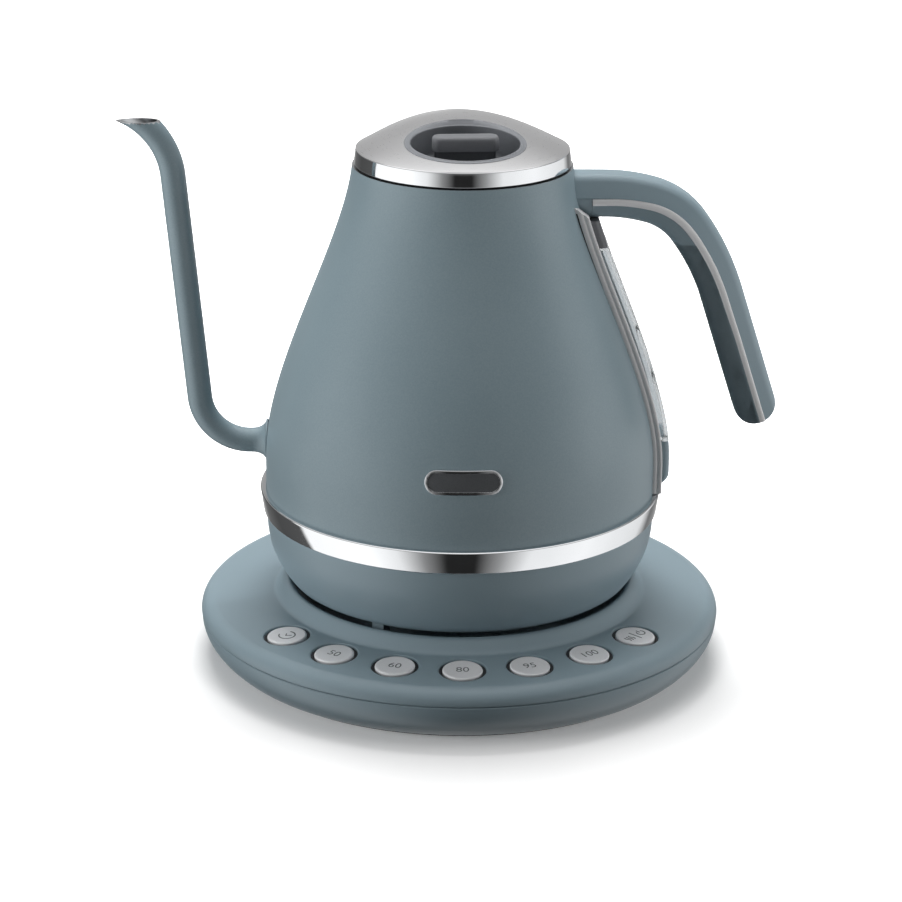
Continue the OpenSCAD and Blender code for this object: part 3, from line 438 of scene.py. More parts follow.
def soften_edges(obj: Thing, width: float, segments: int = 2) -> Thing:
    """Bevel the edges of a piece that are sharper than 50 degrees.

    Args:
        obj: The piece.
        width: Bevel width in millimetres.
        segments: Facets of the bevel.

    Returns:
        The same piece.
    """
    return modify(obj, "BEVEL", width=width * MM, segments=segments, limit_method="ANGLE",
                  angle_limit=math.radians(50), use_clamp_overlap=True)


def smooth(obj: Thing, angle: float = 35) -> Thing:
    """Shade a piece smooth, with edges kept sharp past an angle.

    Args:
        obj: The piece.
        angle: The angle in degrees.

    Returns:
        The same piece.
    """
    pick(obj)
    bpy.ops.object.shade_smooth_by_angle(angle=math.radians(angle))
    return obj


def fit_out(obj: Thing, body: str, slot: str, *nodes: str) -> Thing:
    """Let a piece ride on its body, hide the solids it replaces, and report it.

    Args:
        obj: The finished piece.
        body: The body it rides on.
        slot: The record's material slot; not used.
        nodes: The solids it replaces.

    Returns:
        The same piece.
    """
    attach(obj, body)
    if nodes:
        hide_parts(*nodes)
    log.info("%s: %d faces, rides on %s", obj.name, len(obj.data.polygons), body)
    return obj


# ---------- finishes ----------


def shade(red: float, green: float, blue: float) -> Colour:
    """Turn a display colour of 0 to 255 into linear light.

    Args:
        red: The red value.
        green: The green value.
        blue: The blue value.

    Returns:
        The linear colour, opaque.
    """
    def linear(v: float) -> float:
        """Undo the display curve for one channel."""
        v /= 255
        return v / 12.92 if v <= 0.04045 else ((v + 0.055) / 1.055) ** 2.4
    return linear(red), linear(green), linear(blue), 1.0


class Graph:
    """A node tree under construction."""

    def __init__(self, tree: bpy.types.NodeTree) -> None:
        """Hold the tree."""
        self.tree = tree

    def add(self, kind: str, *sources: object, **properties: object) -> bpy.types.Node:
        """Add a node.

        Args:
            kind: The node's type.
            sources: What goes into its inputs, in order: a socket, a value, or None for nothing.
            properties: The node's own properties by name.

        Returns:
            The node.
        """
        node = self.tree.nodes.new(kind)
        for key, value in properties.items():
            setattr(node, key, value)
        for socket, source in zip(node.inputs, sources):
            if isinstance(source, Socket):
                self.link(source, socket)
            elif source is not None:
                socket.default_value = source
        return node

    def link(self, a: Socket, b: Socket) -> None:
        """Join an output to an input."""
        self.tree.links.new(a, b)

    def ramp(self, source: Socket, stops: list[tuple[float, Colour]]) -> Socket:
        """Colour a value by stops of position and colour, in rising order.

        Args:
            source: The value.
            stops: The stops.

        Returns:
            The colour.
        """
        node = self.add("ShaderNodeValToRGB", source)
        marks = node.color_ramp.elements
        while len(marks) < len(stops):
            marks.new(0.5)
        for mark, (position, colour) in zip(marks, stops):
            mark.position, mark.color = position, colour
        return node.outputs["Color"]

    def remap(self, source: Socket, *limits: float, **properties: object) -> Socket:
        """Map a value from one range to another.

        Args:
            source: The value.
            limits: The low and high end it comes from, and the low and high end it goes to, else 0 and 1.
            properties: The node's own properties by name.

        Returns:
            The mapped value.
        """
        return self.add("ShaderNodeMapRange", source, *limits, **properties).outputs["Result"]

    def math(self, operation: str, *sources: object) -> Socket:
        """Calculate with one or two values."""
        return self.add("ShaderNodeMath", *sources, operation=operation).outputs[0]

    def blend(self, factor: Socket, a: Socket, b: Socket) -> Socket:
        """Mix two shaders: the first at factor 0, the second at 1."""
        return self.add("ShaderNodeMixShader", factor, a, b).outputs[0]


class Mix(Graph):
    """A material under construction, with its main shader."""

    def __init__(self, name: str) -> None:
        """Start a material with a Principled shader.

        Args:
            name: The material's name.
        """
        self.material = bpy.data.materials.new(name)
        self.material.use_nodes = True
        super().__init__(self.material.node_tree)
        self.shader = self.tree.nodes["Principled BSDF"]
        self.coords = self.add("ShaderNodeTexCoord").outputs["Object"]

    def set(self, **values: float | Socket) -> None:
        """Set or feed sockets of the main shader by name, with spaces as underscores."""
        for key, value in values.items():
            socket = self.shader.inputs[key.replace("_", " ")]
            if isinstance(value, Socket):
                self.link(value, socket)
            else:
                socket.default_value = value

    def noise(self, scale: float, detail: float = 2.0, stretch: Place = (1, 1, 1)) -> Socket:
        """Give a noise pattern on stretched object coordinates; scale counts cells in a metre."""
        place = self.add("ShaderNodeMapping", self.coords, None, None, stretch)
        return self.add("ShaderNodeTexNoise", place.outputs[0], None, scale, detail).outputs["Fac"]

    def spread(self, source: Socket, low: float, high: float) -> Socket:
        """Map the middle of a noise to a range."""
        return self.remap(source, 0.3, 0.7, low, high)

    def bump(self, source: Socket, height: float) -> None:
        """Add a bump to the main shader.

        Args:
            source: The pattern.
            height: Its height in millimetres.
        """
        node = self.add("ShaderNodeBump")
        node.inputs["Distance"].default_value = height * MM
        self.link(source, node.inputs["Height"])
        self.set(Normal=node.outputs["Normal"])


def blend_of(a: Colour, b: Colour, share: float) -> Colour:
    """Mix two colours."""
    return tuple(p + (q - p) * share for p, q in zip(a, b))


@dataclass(frozen=True)
class Coating:
    """A satin coat, paint or moulded plastic: a colour with slow variation and a fine grain."""

    name: str
    colour: Colour
    roughness: float = 0.42
    grain: float = 2600.0
    grain_height: float = 0.012
    variation: float = 0.05
    gloss: float = 0.5

    def make(self) -> bpy.types.Material:
        """Build the material."""
        m = Mix(self.name)
        slow, fine = m.noise(22.0, 3.0), m.noise(self.grain, 2.0)
        mixed = m.add("ShaderNodeMix", 0.55, None, slow, fine, data_type="FLOAT")
        dark = blend_of(self.colour, (0, 0, 0, 1), self.variation)
        light = blend_of(self.colour, (1, 1, 1, 1), self.variation * 0.5)
        m.set(Specular_IOR_Level=self.gloss,
              Base_Color=m.ramp(mixed.outputs[0], [(0.35, dark), (0.65, light)]),
              Roughness=m.spread(fine, self.roughness - 0.03, self.roughness + 0.04))
        m.bump(fine, self.grain_height)
        return m.material


@dataclass(frozen=True)
class BareMetal:
    """A metal surface: polished, or brushed round the kettle's axis or along one direction."""

    name: str
    colour: Colour
    roughness: float = 0.1
    brushed: Place | None = None
    round_axis: bool = False
    brush_height: float = 0.004
    smudge: float = 0.03

    def make(self) -> bpy.types.Material:
        """Build the material."""
        m = Mix(self.name)
        low = blend_of(self.colour, (0, 0, 0, 1), 0.06)
        if self.round_axis:
            lines = self.rings(m)
        elif self.brushed:
            lines = m.noise(900.0, 3.0, self.brushed)
        else:
            lines = m.noise(180.0, 4.0)
        m.set(Metallic=1.0, Base_Color=m.ramp(m.noise(35.0, 3.0), [(0.3, low), (0.7, self.colour)]),
              Roughness=m.spread(lines, self.roughness - self.smudge, self.roughness + self.smudge))
        m.bump(lines, self.brush_height)
        return m.material

    def rings(self, m: Mix) -> Socket:
        """Give fine lines that run round the kettle's axis.

        Args:
            m: The material.

        Returns:
            The pattern.
        """
        x, y = m.add("ShaderNodeSeparateXYZ", m.coords).outputs[:2]
        flat = m.add("ShaderNodeCombineXYZ", x, y)
        out = m.add("ShaderNodeVectorMath", flat.outputs[0], operation="LENGTH").outputs["Value"]
        around = m.math("MULTIPLY", m.math("ARCTAN2", y, x), 0.0012)
        place = m.add("ShaderNodeCombineXYZ", out, around)
        return m.add("ShaderNodeTexNoise", place.outputs[0], None, 4200.0, 3.0).outputs["Fac"]


@dataclass(frozen=True)
class ClearPlastic:
    """A clear moulding with a faint tint and fine waves."""

    name: str
    colour: Colour
    roughness: float = 0.05

    def make(self) -> bpy.types.Material:
        """Build the material."""
        m = Mix(self.name)
        waves = m.noise(60.0, 2.0, (1, 1, 0.35))
        low = blend_of(self.colour, (0, 0, 0, 1), 0.04)
        m.set(Transmission_Weight=0.94, IOR=1.08, Base_Color=m.ramp(waves, [(0.3, low), (0.7, self.colour)]),
              Roughness=m.spread(waves, self.roughness, self.roughness + 0.02))
        m.bump(waves, 0.0003)
        return m.material


class Finish(Enum):
    """Every finish on the kettle and its base."""

    BODY_PAINT = Coating("satin body paint", shade(124, 143, 151), 0.4, 1700.0, 0.012, 0.06, 0.7)
    SATIN_PLASTIC = Coating("satin moulding", shade(131, 150, 159), 0.38, 3000.0, 0.003, 0.03, 0.6)
    # charcoal moulding: the badge's own dark face, and painted shade on the web under the lid's grip bar
    DARK_PLASTIC = Coating("charcoal moulding", shade(66, 69, 72), 0.42, 3000.0, 0.006, 0.06)
    # lid well: a lighter copy of the charcoal moulding; the extra lightness is painted light, standing in for
    # the light the well lacks
    WELL_PLASTIC = Coating("lid well moulding painted lighter", shade(118, 121, 126), 0.4, 3000.0, 0.006, 0.05)
    # a lighter copy of the charcoal moulding; on the lid's grip bar the extra lightness is painted light,
    # standing in for the light the well lacks
    MID_PLASTIC = Coating("mid grey moulding", shade(106, 108, 112), 0.4, 3000.0, 0.004, 0.05)
    RUBBER = Coating("soft dark rubber", shade(34, 36, 38), 0.62, 2200.0, 0.02, 0.08, 0.3)
    PRINT = Coating("grey print", shade(84, 87, 90), 0.6, 3000.0, 0.002, 0.05)
    GAUGE_PRINT = Coating("dark gauge print", shade(52, 58, 62), 0.5, 3000.0, 0.002, 0.05)
    BOARD = Coating("circuit board", shade(36, 84, 58), 0.5, 400.0, 0.01, 0.2)
    CHROME = BareMetal("polished chrome", shade(232, 234, 236), 0.07)
    LID = BareMetal("brushed lid steel", shade(240, 240, 241), 0.3, None, True, 0.0004)
    SILVER = Coating("satin button silver", shade(232, 233, 235), 0.32, 2500.0, 0.003, 0.08, 0.9)
    RAIL = Coating("silver gauge rail", shade(214, 214, 215), 0.3, 2600.0, 0.004, 0.03, 1.0)
    STRIP = Coating("silver handle strip", shade(236, 236, 237), 0.3, 2600.0, 0.004, 0.03, 1.0)
    STEEL = BareMetal("inner steel", shade(188, 190, 192), 0.3, (1, 1, 6))
    ALUMINIUM = BareMetal("cast aluminium", shade(178, 180, 182), 0.45, (1, 1, 1))
    BRASS = BareMetal("brass contact", shade(206, 170, 98), 0.28, (1, 1, 4))
    WINDOW = ClearPlastic("clear gauge window", shade(232, 236, 238))

    @property
    def material(self) -> bpy.types.Material:
        """The built material, made once."""
        return bpy.data.materials.get(self.value.name) or self.value.make()


SLOT_FINISH = {
    "body_paint": Finish.BODY_PAINT, "satin_plastic": Finish.SATIN_PLASTIC, "chrome": Finish.CHROME,
    "brushed_lid": Finish.LID, "inner_steel": Finish.STEEL, "aluminium": Finish.ALUMINIUM,
    "brass": Finish.BRASS, "dark_plastic": Finish.DARK_PLASTIC, "rubber": Finish.RUBBER,
    "circuit_board": Finish.BOARD, "button_silver": Finish.SILVER, "clear_window": Finish.WINDOW,
    "print": Finish.GAUGE_PRINT,
}


def dress(obj: Thing, *finishes: Finish) -> Thing:
    """Give a piece its finishes, the first on all of its faces.

    Args:
        obj: The piece.
        finishes: Its finishes.

    Returns:
        The same piece.
    """
    obj.data.materials.clear()
    for finish in finishes:
        obj.data.materials.append(finish.material)
    return obj


def hand_over(obj: Thing, finish: Finish, body: str, slot: str, *nodes: str, angle: float = 35) -> Thing:
    """Shade a piece smooth, dress it in one finish and fit it out.

    Args:
        obj: The piece.
        finish: Its finish.
        body: The body it rides on.
        slot: The record's material slot.
        nodes: The solids it replaces.
        angle: The least angle of an edge that stays sharp, in degrees.

    Returns:
        The same piece.
    """
    return fit_out(dress(smooth(obj, angle), finish), body, slot, *nodes)


# ---------- the kettle ----------


@dataclass
class Vessel:
    """The painted body with its steel inside, and the chrome band and skirt below it."""

    radius: float = 77.85
    foot_z: float = 60.0
    shoulder_z: float = 81.9
    belly: tuple[float, float] = (77.85, 117.0)
    neck: tuple[float, float] = (46.0, 169.0)
    rim: tuple[float, float] = (42.9, 200.0)
    wall: float = 0.9
    mouth_r: float = 38.5
    inlet_r: float = 4.1
    inlet_z: float = 86.7
    band_z: tuple[float, float] = (60.2, 69.4)
    band_r: tuple[float, float] = (78.9, 80.2)
    skirt_z: tuple[float, float] = (32.0, 59.8)
    skirt_r: float = 77.65
    skirt_draw: float = 9.45
    skirt_wall: float = 2.2

    def side(self, steps: int = 56) -> Outline:
        """Give the body's outer line from its shoulder to its rim.

        Args:
            steps: How many pieces the curve has.

        Returns:
            Radius and height of each point.
        """
        corners = [(self.radius, self.shoulder_z), self.belly, self.neck, self.rim]
        line = []
        for i in range(steps + 1):
            t = i / steps
            weights = ((1 - t) ** 3, 3 * t * (1 - t) ** 2, 3 * t * t * (1 - t), t ** 3)
            line.append(tuple(sum(w * c[k] for w, c in zip(weights, corners)) for k in (0, 1)))
        return line

    def radius_at(self, z: float) -> float:
        """Give the body's outer radius at a height.

        Args:
            z: The height.

        Returns:
            The radius.
        """
        if z <= self.shoulder_z:
            return self.radius
        for (r0, z0), (r1, z1) in pairwise(self.side(120)):
            if z0 <= z <= z1:
                return r0 + (r1 - r0) * (z - z0) / (z1 - z0)
        return self.rim[0]

    def solid(self, grow: float, sides: int = 192) -> Thing:
        """Make the whole body as a cutting shape, larger by an amount.

        Args:
            grow: How much larger it is than the body.
            sides: Steps of the full turn.

        Returns:
            The shape.
        """
        line = [(0, self.foot_z - 10), (self.radius + grow, self.foot_z - 10)]
        line += [(r + grow, z) for r, z in self.side(40)] + [(self.rim[0] + grow, 214), (0, 214)]
        return turn("body cutter", line, sides)

    def build(self) -> None:
        """Make the body, the band and the skirt."""
        side, wall, top = self.side(), self.wall, self.rim[1]
        outer = [(self.radius, self.foot_z), (self.radius, self.band_z[1] + 0.6)] + side
        mouth = [(self.mouth_r, top), (self.mouth_r, top - wall), (self.rim[0] - wall, top - wall)]
        inner = [(r - wall, z) for r, z in reversed(side[:-1])] + [(self.radius - wall, self.foot_z)]
        body = turn("vessel_body", outer + mouth + inner, 224)
        cut(body, rod("inlet", self.inlet_r, (60, 85), 32, (0, 0, self.inlet_z), (-1, 0, 0), (0, 1, 0)))
        dress(smooth(body), Finish.BODY_PAINT, Finish.STEEL)
        for face in body.data.polygons:
            x, y, z = (c / MM for c in face.center)
            if math.hypot(x, y) < self.radius_at(z) - wall * 0.6 or face.normal.z > 0.9:
                face.material_index = 1
        fit_out(body, "kettle", "body_paint", "vessel")
        (z0, z1), (r0, r1), back = self.band_z, self.band_r, self.radius + 0.05
        band = turn("chrome_band_ring", softened(
            [(back, z0, 0.1), (r0, z0, 0.7), (r1, z1, 0.7), (back, z1, 0.1)], 5), 320)
        hand_over(band, Finish.CHROME, "kettle", "chrome", "chrome_band")
        hand_over(self.skirt(), Finish.SATIN_PLASTIC, "kettle", "satin_plastic", "skirt")

    def skirt(self) -> Thing:
        """Make the tapering skirt below the band."""
        z0, z1 = self.skirt_z
        line = [(self.skirt_r - self.skirt_draw * ((z1 - z) / (z1 - z0)) ** 2.5, z)
                for z in [z0 + (z1 - z0) * i / 28 for i in range(29)]]
        foot, wall = line[0][0], self.skirt_wall
        lip = [(foot - wall, z0 + 0.1), (foot - 0.9, z0), (foot - 0.35, z0 + 0.15)]
        return turn("skirt_shell", lip + line[1:] + [(r - wall, z) for r, z in reversed(line[1:])], 256)


@dataclass
class Spout:
    """The swan-neck tube from the body's side up to its open tip."""

    outer_r: float = 4.9
    wall: float = 0.8
    start_x: float = 76.6
    foot_z: float = 86.7
    reach: float = 84.0
    low_bend: float = 19.9
    lean: float = 5.3
    riser: float = 90.6
    top_bend: float = 31.0
    top_angle: float = 78.0
    tip_z: float = 216.5
    # where the weld starts and ends along the spout's foot, and the length of its fillet
    weld: tuple[float, float, float] = (76.9, 83.0, 5.4)
    weld_out: float = 3.6
    sides: int = 48

    def line(self, *steps: int) -> list[Station]:
        """Give the tube's middle line.

        Args:
            steps: How many stations each of the four legs has.

        Returns:
            The stations.
        """
        legs = ((self.reach - self.start_x, 0), (self.low_bend, self.lean - 90),
                (self.riser, 0), (self.top_bend, self.top_angle))
        return walk(Station(-self.start_x, self.foot_z, 180), [(*leg, n) for leg, n in zip(legs, steps)])

    def build(self) -> None:
        """Make the tube and the weld round its foot."""
        angles = [360 * i / self.sides for i in range(self.sides)]
        path = self.line(1, 28, 8, 36)
        tube = sweep("spout_neck", [on_circle(self.outer_r, a) for a in angles], path)
        cut(tube, sweep("bore", [on_circle(self.outer_r - self.wall, a) for a in angles],
                        [path[0].ahead(-3), *path, path[-1].ahead(3)]))
        top = [(-220, -40), (-90, -40), (-90, 40), (-220, 40)]
        cut(tube, plate("level cut", [(x, y, self.tip_z) for x, y in top], (0, 0, 60)))
        soften_edges(tube, 0.22)
        dress(smooth(tube, 40), Finish.BODY_PAINT, Finish.STEEL)
        bare, dense = self.outer_r - self.wall * 0.55, self.line(8, 40, 90, 50)
        for face in tube.data.polygons:
            c = face.center / MM
            off = min(math.dist((c.x, c.y, c.z), (s.x, 0, s.z)) for s in dense)
            if off < bare or c.z > self.tip_z - 0.35:
                face.material_index = 1
        fit_out(tube, "kettle", "body_paint", "spout_tube")
        (x0, x1, rise), out = self.weld, self.weld_out
        weld = [(self.outer_r - 0.4, x0), (self.outer_r - 0.4, x1)]
        weld += [(self.outer_r + out - on_circle(out, a)[0], x1 - on_circle(rise, a)[1])
                 for a in range(0, 91, 10)]
        weld += [(self.outer_r + out, x0)]
        foot = turn("spout_foot_weld", weld, 48, (0, 0, self.foot_z), (-1, 0, 0), (0, 1, 0))
        hand_over(foot, Finish.BODY_PAINT, "kettle", "body_paint", angle=60)


@dataclass
class Handle:
    """The arched handle: an outer and an inner moulding with a bright strip between them."""

    level_z: float = 188.7
    start_x: float = 40.0
    level_x: float = 55.0
    # each bend's radius, angle and steps
    bends: tuple = ((69.0, -15.2, 8), (27.9, -37.8, 16), (91.0, -19.0, 10))
    grip: float = 54.5
    thick: float = 16.8
    wide: float = 20.0
    inner_edge: float = 8.2
    outer_edge: float = 6.0
    corner: float = 4.6
    inner_round: float = 7.5
    outer_round: float = 7.0
    strip: float = 2.8
    strip_x: float = 50.2
    seam_in: float = 1.6
    # where the seam drifts outwards: from what length on, over what length, and how far
    drifts: tuple = ((14.0, 42.0, 1.6), (62.0, 40.0, 0.7))

    def path(self, past: float = 0.0) -> list[Station]:
        """Give the middle line, which may run on past the free end by a length."""
        legs = [(self.level_x - self.start_x, 0, 2), *self.bends, (self.grip + past, 0, 8)]
        return walk(Station(self.start_x, self.level_z, 0), legs)

    def seam(self) -> list[Station]:
        """Give the strip's line, which drifts across the section along the way."""
        line, gone = self.path(2), 0.0
        result = [line[0].beside(-self.seam_in)]
        for a, b in pairwise(line):
            gone += math.dist((a.x, a.z), (b.x, b.z))
            shift = sum(by * max(0.0, min((gone - start) / length, 1)) for start, length, by in self.drifts)
            result.append(b.beside(shift - self.seam_in))
        return result

    def section(self) -> Outline:
        """Give the full section, as (out, across): widest at the strip, sloping to round edges."""
        u, v, r = self.thick / 2, self.wide / 2, self.corner
        i, o = self.inner_edge, self.outer_edge
        return softened([(-u, -i, r), (0, -v, 1.2), (u, -o, r), (u, o, r), (0, v, 1.2), (-u, i, r)], 9)

    def end_tool(self) -> Thing:
        """Make the shape that rounds the free end, inside more than outside."""
        end, u = self.path()[-1], self.thick / 2 + 0.02
        line = [end.ahead(-self.outer_round).point(u + 8, 0), end.ahead(12).point(u + 8, 0),
                end.ahead(12).point(-u - 8, 0), end.ahead(-self.inner_round).point(-u - 8, 0)]
        angles = range(0, 91, 9)
        for radius, side, run in ((self.inner_round, -1, angles), (self.outer_round, 1, reversed(angles))):
            for a in run:
                across, along = on_circle(radius, a)
                line.append(end.ahead(along - radius).point(side * (u - radius + across), 0))
        return plate("end round", [(x, -16, z) for x, _, z in line], (0, 32, 0))

    def half(self, name: str, side: int, gap: float, vessel: Vessel) -> Thing:
        """Make one moulding by parting the full sweep along the seam.

        Args:
            name: The moulding's name.
            side: 1 for the outer moulding, -1 for the inner one.
            gap: How far it ends from the seam's middle.
            vessel: The body it ends on.

        Returns:
            The moulding.
        """
        full = sweep(name, self.section(), self.path())
        away = [(side * gap, -14), (side * gap, 14), (-side * 16, 14), (-side * 16, -14)]
        seam = self.seam()
        tool = sweep("parting", away, [seam[0].ahead(-2)] + seam[1:] + [seam[-1].ahead(6)])
        cut(full, tool)
        cut(full, self.end_tool())
        return cut(full, vessel.solid(-0.35))

    def beyond(self, x0: float, x1: float) -> Thing:
        """Make a block across the handle's root between two distances from the axis."""
        corners = [(x0, 170), (x1, 170), (x1, 192), (x0, 192)]
        return plate("root block", [(x, -20, z) for x, z in corners], (0, 40, 0))

    def build(self, vessel: Vessel) -> None:
        """Make the mouldings, the strips and the root under the outer moulding.

        Args:
            vessel: The body they stand on.
        """
        gap = self.strip / 2 + 0.06
        outer = self.half("handle_outer_shell", 1, gap, vessel)
        hand_over(outer, Finish.SATIN_PLASTIC, "kettle", "satin_plastic", "handle_outer", angle=32)
        inner = self.half("handle_inner_shell", -1, gap, vessel)
        cut(inner, self.beyond(20, self.strip_x - 0.1))
        hand_over(inner, Finish.SATIN_PLASTIC, "kettle", "satin_plastic", "handle_inner", angle=32)
        root = self.half("handle_root", -1, 0.06 - gap, vessel)
        cut(root, self.beyond(self.strip_x - 0.25, 140))
        hand_over(root, Finish.SATIN_PLASTIC, "kettle", "satin_plastic", "handle_collar", angle=32)
        self.strips()

    def strips(self) -> None:
        """Make the bright strip, half round where it shows on either side."""
        v, r = self.wide / 2 - 0.45, self.strip / 2
        arc = [(on_circle(r, a)[0], v + 0.5 * on_circle(1, a)[1]) for a in range(0, 181, 15)]
        outline = arc + [(-u, -w) for u, w in arc]
        seam = [p for p in self.seam() if p.x > self.strip_x]
        bar = sweep("handle_strip", outline, [Station(self.strip_x, self.seam()[1].z, 0)] + seam)
        cut(bar, self.end_tool())
        hand_over(bar, Finish.STRIP, "kettle", "chrome", "handle_trim", angle=40)


@dataclass
class Gauge:
    """The water gauge down the body's side: bright frame, clear window and end blocks."""

    width: float = 32.6
    proud: float = 1.9
    frame_z: tuple[float, float] = (69.9, 187.0)
    # the place and half width of each ridge on a rail
    ridges: tuple = ((-1.15, 1.15), (1.05, 0.9))
    slot_z: float = 71.45
    window_w: float = 21.0
    window_proud: float = 5.4
    window_z: tuple[float, float] = (89.9, 169.0)
    # the lower end of the lower block and its rounding, and the upper end of the upper block
    foot_z: float = 71.5
    foot_round: float = 4.9
    head_z: float = 179.75
    wall: float = 1.4
    groove: float = 0.45
    level_step: float = 3.0

    def levels(self, vessel: Vessel, z0: float, z1: float) -> list[tuple[float, float, float]]:
        """Give levels along the body's side between two heights.

        Args:
            vessel: The body.
            z0: The lower height.
            z1: The upper height.

        Returns:
            Radius, height and scale of each level.
        """
        count = max(2, round((z1 - z0) / self.level_step))
        heights = [z0 + (z1 - z0) * i / count for i in range(count + 1)]
        return [(vessel.radius_at(z), z, 1.0) for z in heights]

    def frame_piece(self, vessel: Vessel) -> Thing:
        """Make the frame, each rail with two round ridges along its outer side.

        Args:
            vessel: The body it stands on.

        Returns:
            The frame.
        """
        w, p = self.width / 2, self.proud
        rail = [(-7.0, w - 0.3)]
        for middle, r in self.ridges:
            rail += [(middle + on_circle(r, a)[0], w - self.groove + on_circle(self.groove, a)[1])
                     for a in range(170, 9, -16)]
        rail += [(p, w - 1.6), (p, w - 5.5)]
        outline = [(x, -y) for x, y in rail] + [(x, y) for x, y in reversed(rail)]
        slab = stack("gauge_rails", outline, self.levels(vessel, *self.frame_z))
        half = self.window_w / 2 + 0.05
        slot = [(20, self.slot_z), (90, self.slot_z), (90, 196), (20, 196)]
        cut(slab, plate("slot", [(x, -half, z) for x, z in slot], (0, 2 * half, 0)))
        z1, r = self.frame_z[1], vessel.radius_at(self.frame_z[1])
        slant = [(r - 3.4, z1 + 0.1), (r + 3, z1 - 4.6), (r + 12, z1 + 6), (r, z1 + 6)]
        cut(slab, plate("slanted end", [(x, -20, z) for x, z in slant], (0, 40, 0)))
        return cut(slab, vessel.solid(0.02))

    def window_piece(self, vessel: Vessel) -> Thing:
        """Make the hollow clear window.

        Args:
            vessel: The body it stands on.

        Returns:
            The window.
        """
        w, p, t = self.window_w / 2 - 0.05, self.window_proud, self.wall
        outer = softened([(-6, -w, 0), (p, -w, 2.0), (p, w, 2.0), (-6, w, 0)], 6)
        inner = softened([(-9, -w + t, 0), (p - t, -w + t, 1.2), (p - t, w - t, 1.2), (-9, w - t, 0)], 6)
        z0, z1 = self.window_z
        shell = stack("gauge_window_shell", outer, self.levels(vessel, z0, z1))
        cut(shell, stack("hollow", inner, self.levels(vessel, z0 + t, z1 - t)))
        return cut(shell, vessel.solid(0.3))

    def block(self, vessel: Vessel, name: str, z0: float, z1: float, corner: float) -> Thing:
        """Make an end block.

        Args:
            vessel: The body it stands on.
            name: The block's name.
            z0: The height of its foot.
            z1: The height of its top.
            corner: The radius that its outer foot is rounded by, or 0.

        Returns:
            The block.
        """
        w, p, back = self.window_w / 2 - 0.05, self.window_proud - 0.1, 8.0
        outline = softened([(0, -w, 0), (back + p, -w, 2.0), (back + p, w, 2.0), (0, w, 0)], 6)
        foot = []
        for k in range(8 if corner else 0):
            t = math.radians(90 * k / 8)
            share = (back + p - corner * (1 - math.sin(t))) / (back + p)
            foot.append((vessel.radius_at(z0) - back, z0 + corner * (1 - math.cos(t)), share))
        rest = [(r - back, z, k) for r, z, k in self.levels(vessel, z0 + corner, z1)]
        return cut(stack(name, outline, foot + rest), vessel.solid(0.1))

    def build(self, vessel: Vessel) -> None:
        """Make the gauge's pieces.

        Args:
            vessel: The body they stand on.
        """
        hand_over(self.frame_piece(vessel), Finish.RAIL, "kettle", "chrome", "gauge_frame")
        hand_over(self.window_piece(vessel), Finish.WINDOW, "kettle", "clear_window", "gauge_window")
        (z0, z1), gap = self.window_z, 0.05
        low = self.block(vessel, "gauge_foot_block", self.foot_z, z0 - gap, self.foot_round)
        hand_over(low, Finish.SATIN_PLASTIC, "kettle", "satin_plastic", "gauge_lower_block")
        top = self.block(vessel, "gauge_head_block", z1 + gap, self.head_z, 0)
        hand_over(top, Finish.MID_PLASTIC, "kettle", "dark_plastic", "gauge_upper_block")


@dataclass
class Badge:
    """The blank pill-shaped badge on the body's front."""

    width: float = 29.4
    height: float = 9.2
    rim: float = 1.1
    z: float = 96.3
    proud: float = 0.9

    def pill(self, grow: float, name: str) -> Thing:
        """Make a pill-shaped prism through the body's front.

        Args:
            grow: How much larger it is all round than the badge.
            name: The prism's name.

        Returns:
            The prism.
        """
        r = self.height / 2 + grow
        run = (self.width - self.height) / 2
        points = [(run + on_circle(r, a)[0], self.z + on_circle(r, a)[1]) for a in range(-90, 91, 9)]
        points += [(on_circle(r, a)[0] - run, self.z + on_circle(r, a)[1]) for a in range(90, 271, 9)]
        return plate(name, [(x, -60, z) for x, z in points], (0, -40, 0))

    def curved(self, name: str, grow: float, proud: float, vessel: Vessel) -> Thing:
        """Make a pill whose front follows the body.

        Args:
            name: The piece's name.
            grow: How much larger it is all round than the badge.
            proud: How far it stands out of the body.
            vessel: The body.

        Returns:
            The pill.
        """
        obj = self.pill(grow, name)
        cut(obj, vessel.solid(proud, 512), "INTERSECT")
        return cut(obj, vessel.solid(-0.2, 512))

    def build(self, vessel: Vessel) -> None:
        """Make the bright rim and the blank plate in it.

        Args:
            vessel: The body they stand on.
        """
        rim = self.curved("badge_frame", 0, self.proud, vessel)
        cut(rim, self.pill(-self.rim, "opening"))
        soften_edges(rim, 0.28, 3)
        hand_over(rim, Finish.CHROME, "kettle", "chrome", "badge_rim", angle=40)
        face = self.curved("badge_face", -self.rim - 0.03, self.proud - 0.35, vessel)
        hand_over(face, Finish.DARK_PLASTIC, "kettle", "dark_plastic", "badge_plate", angle=40)


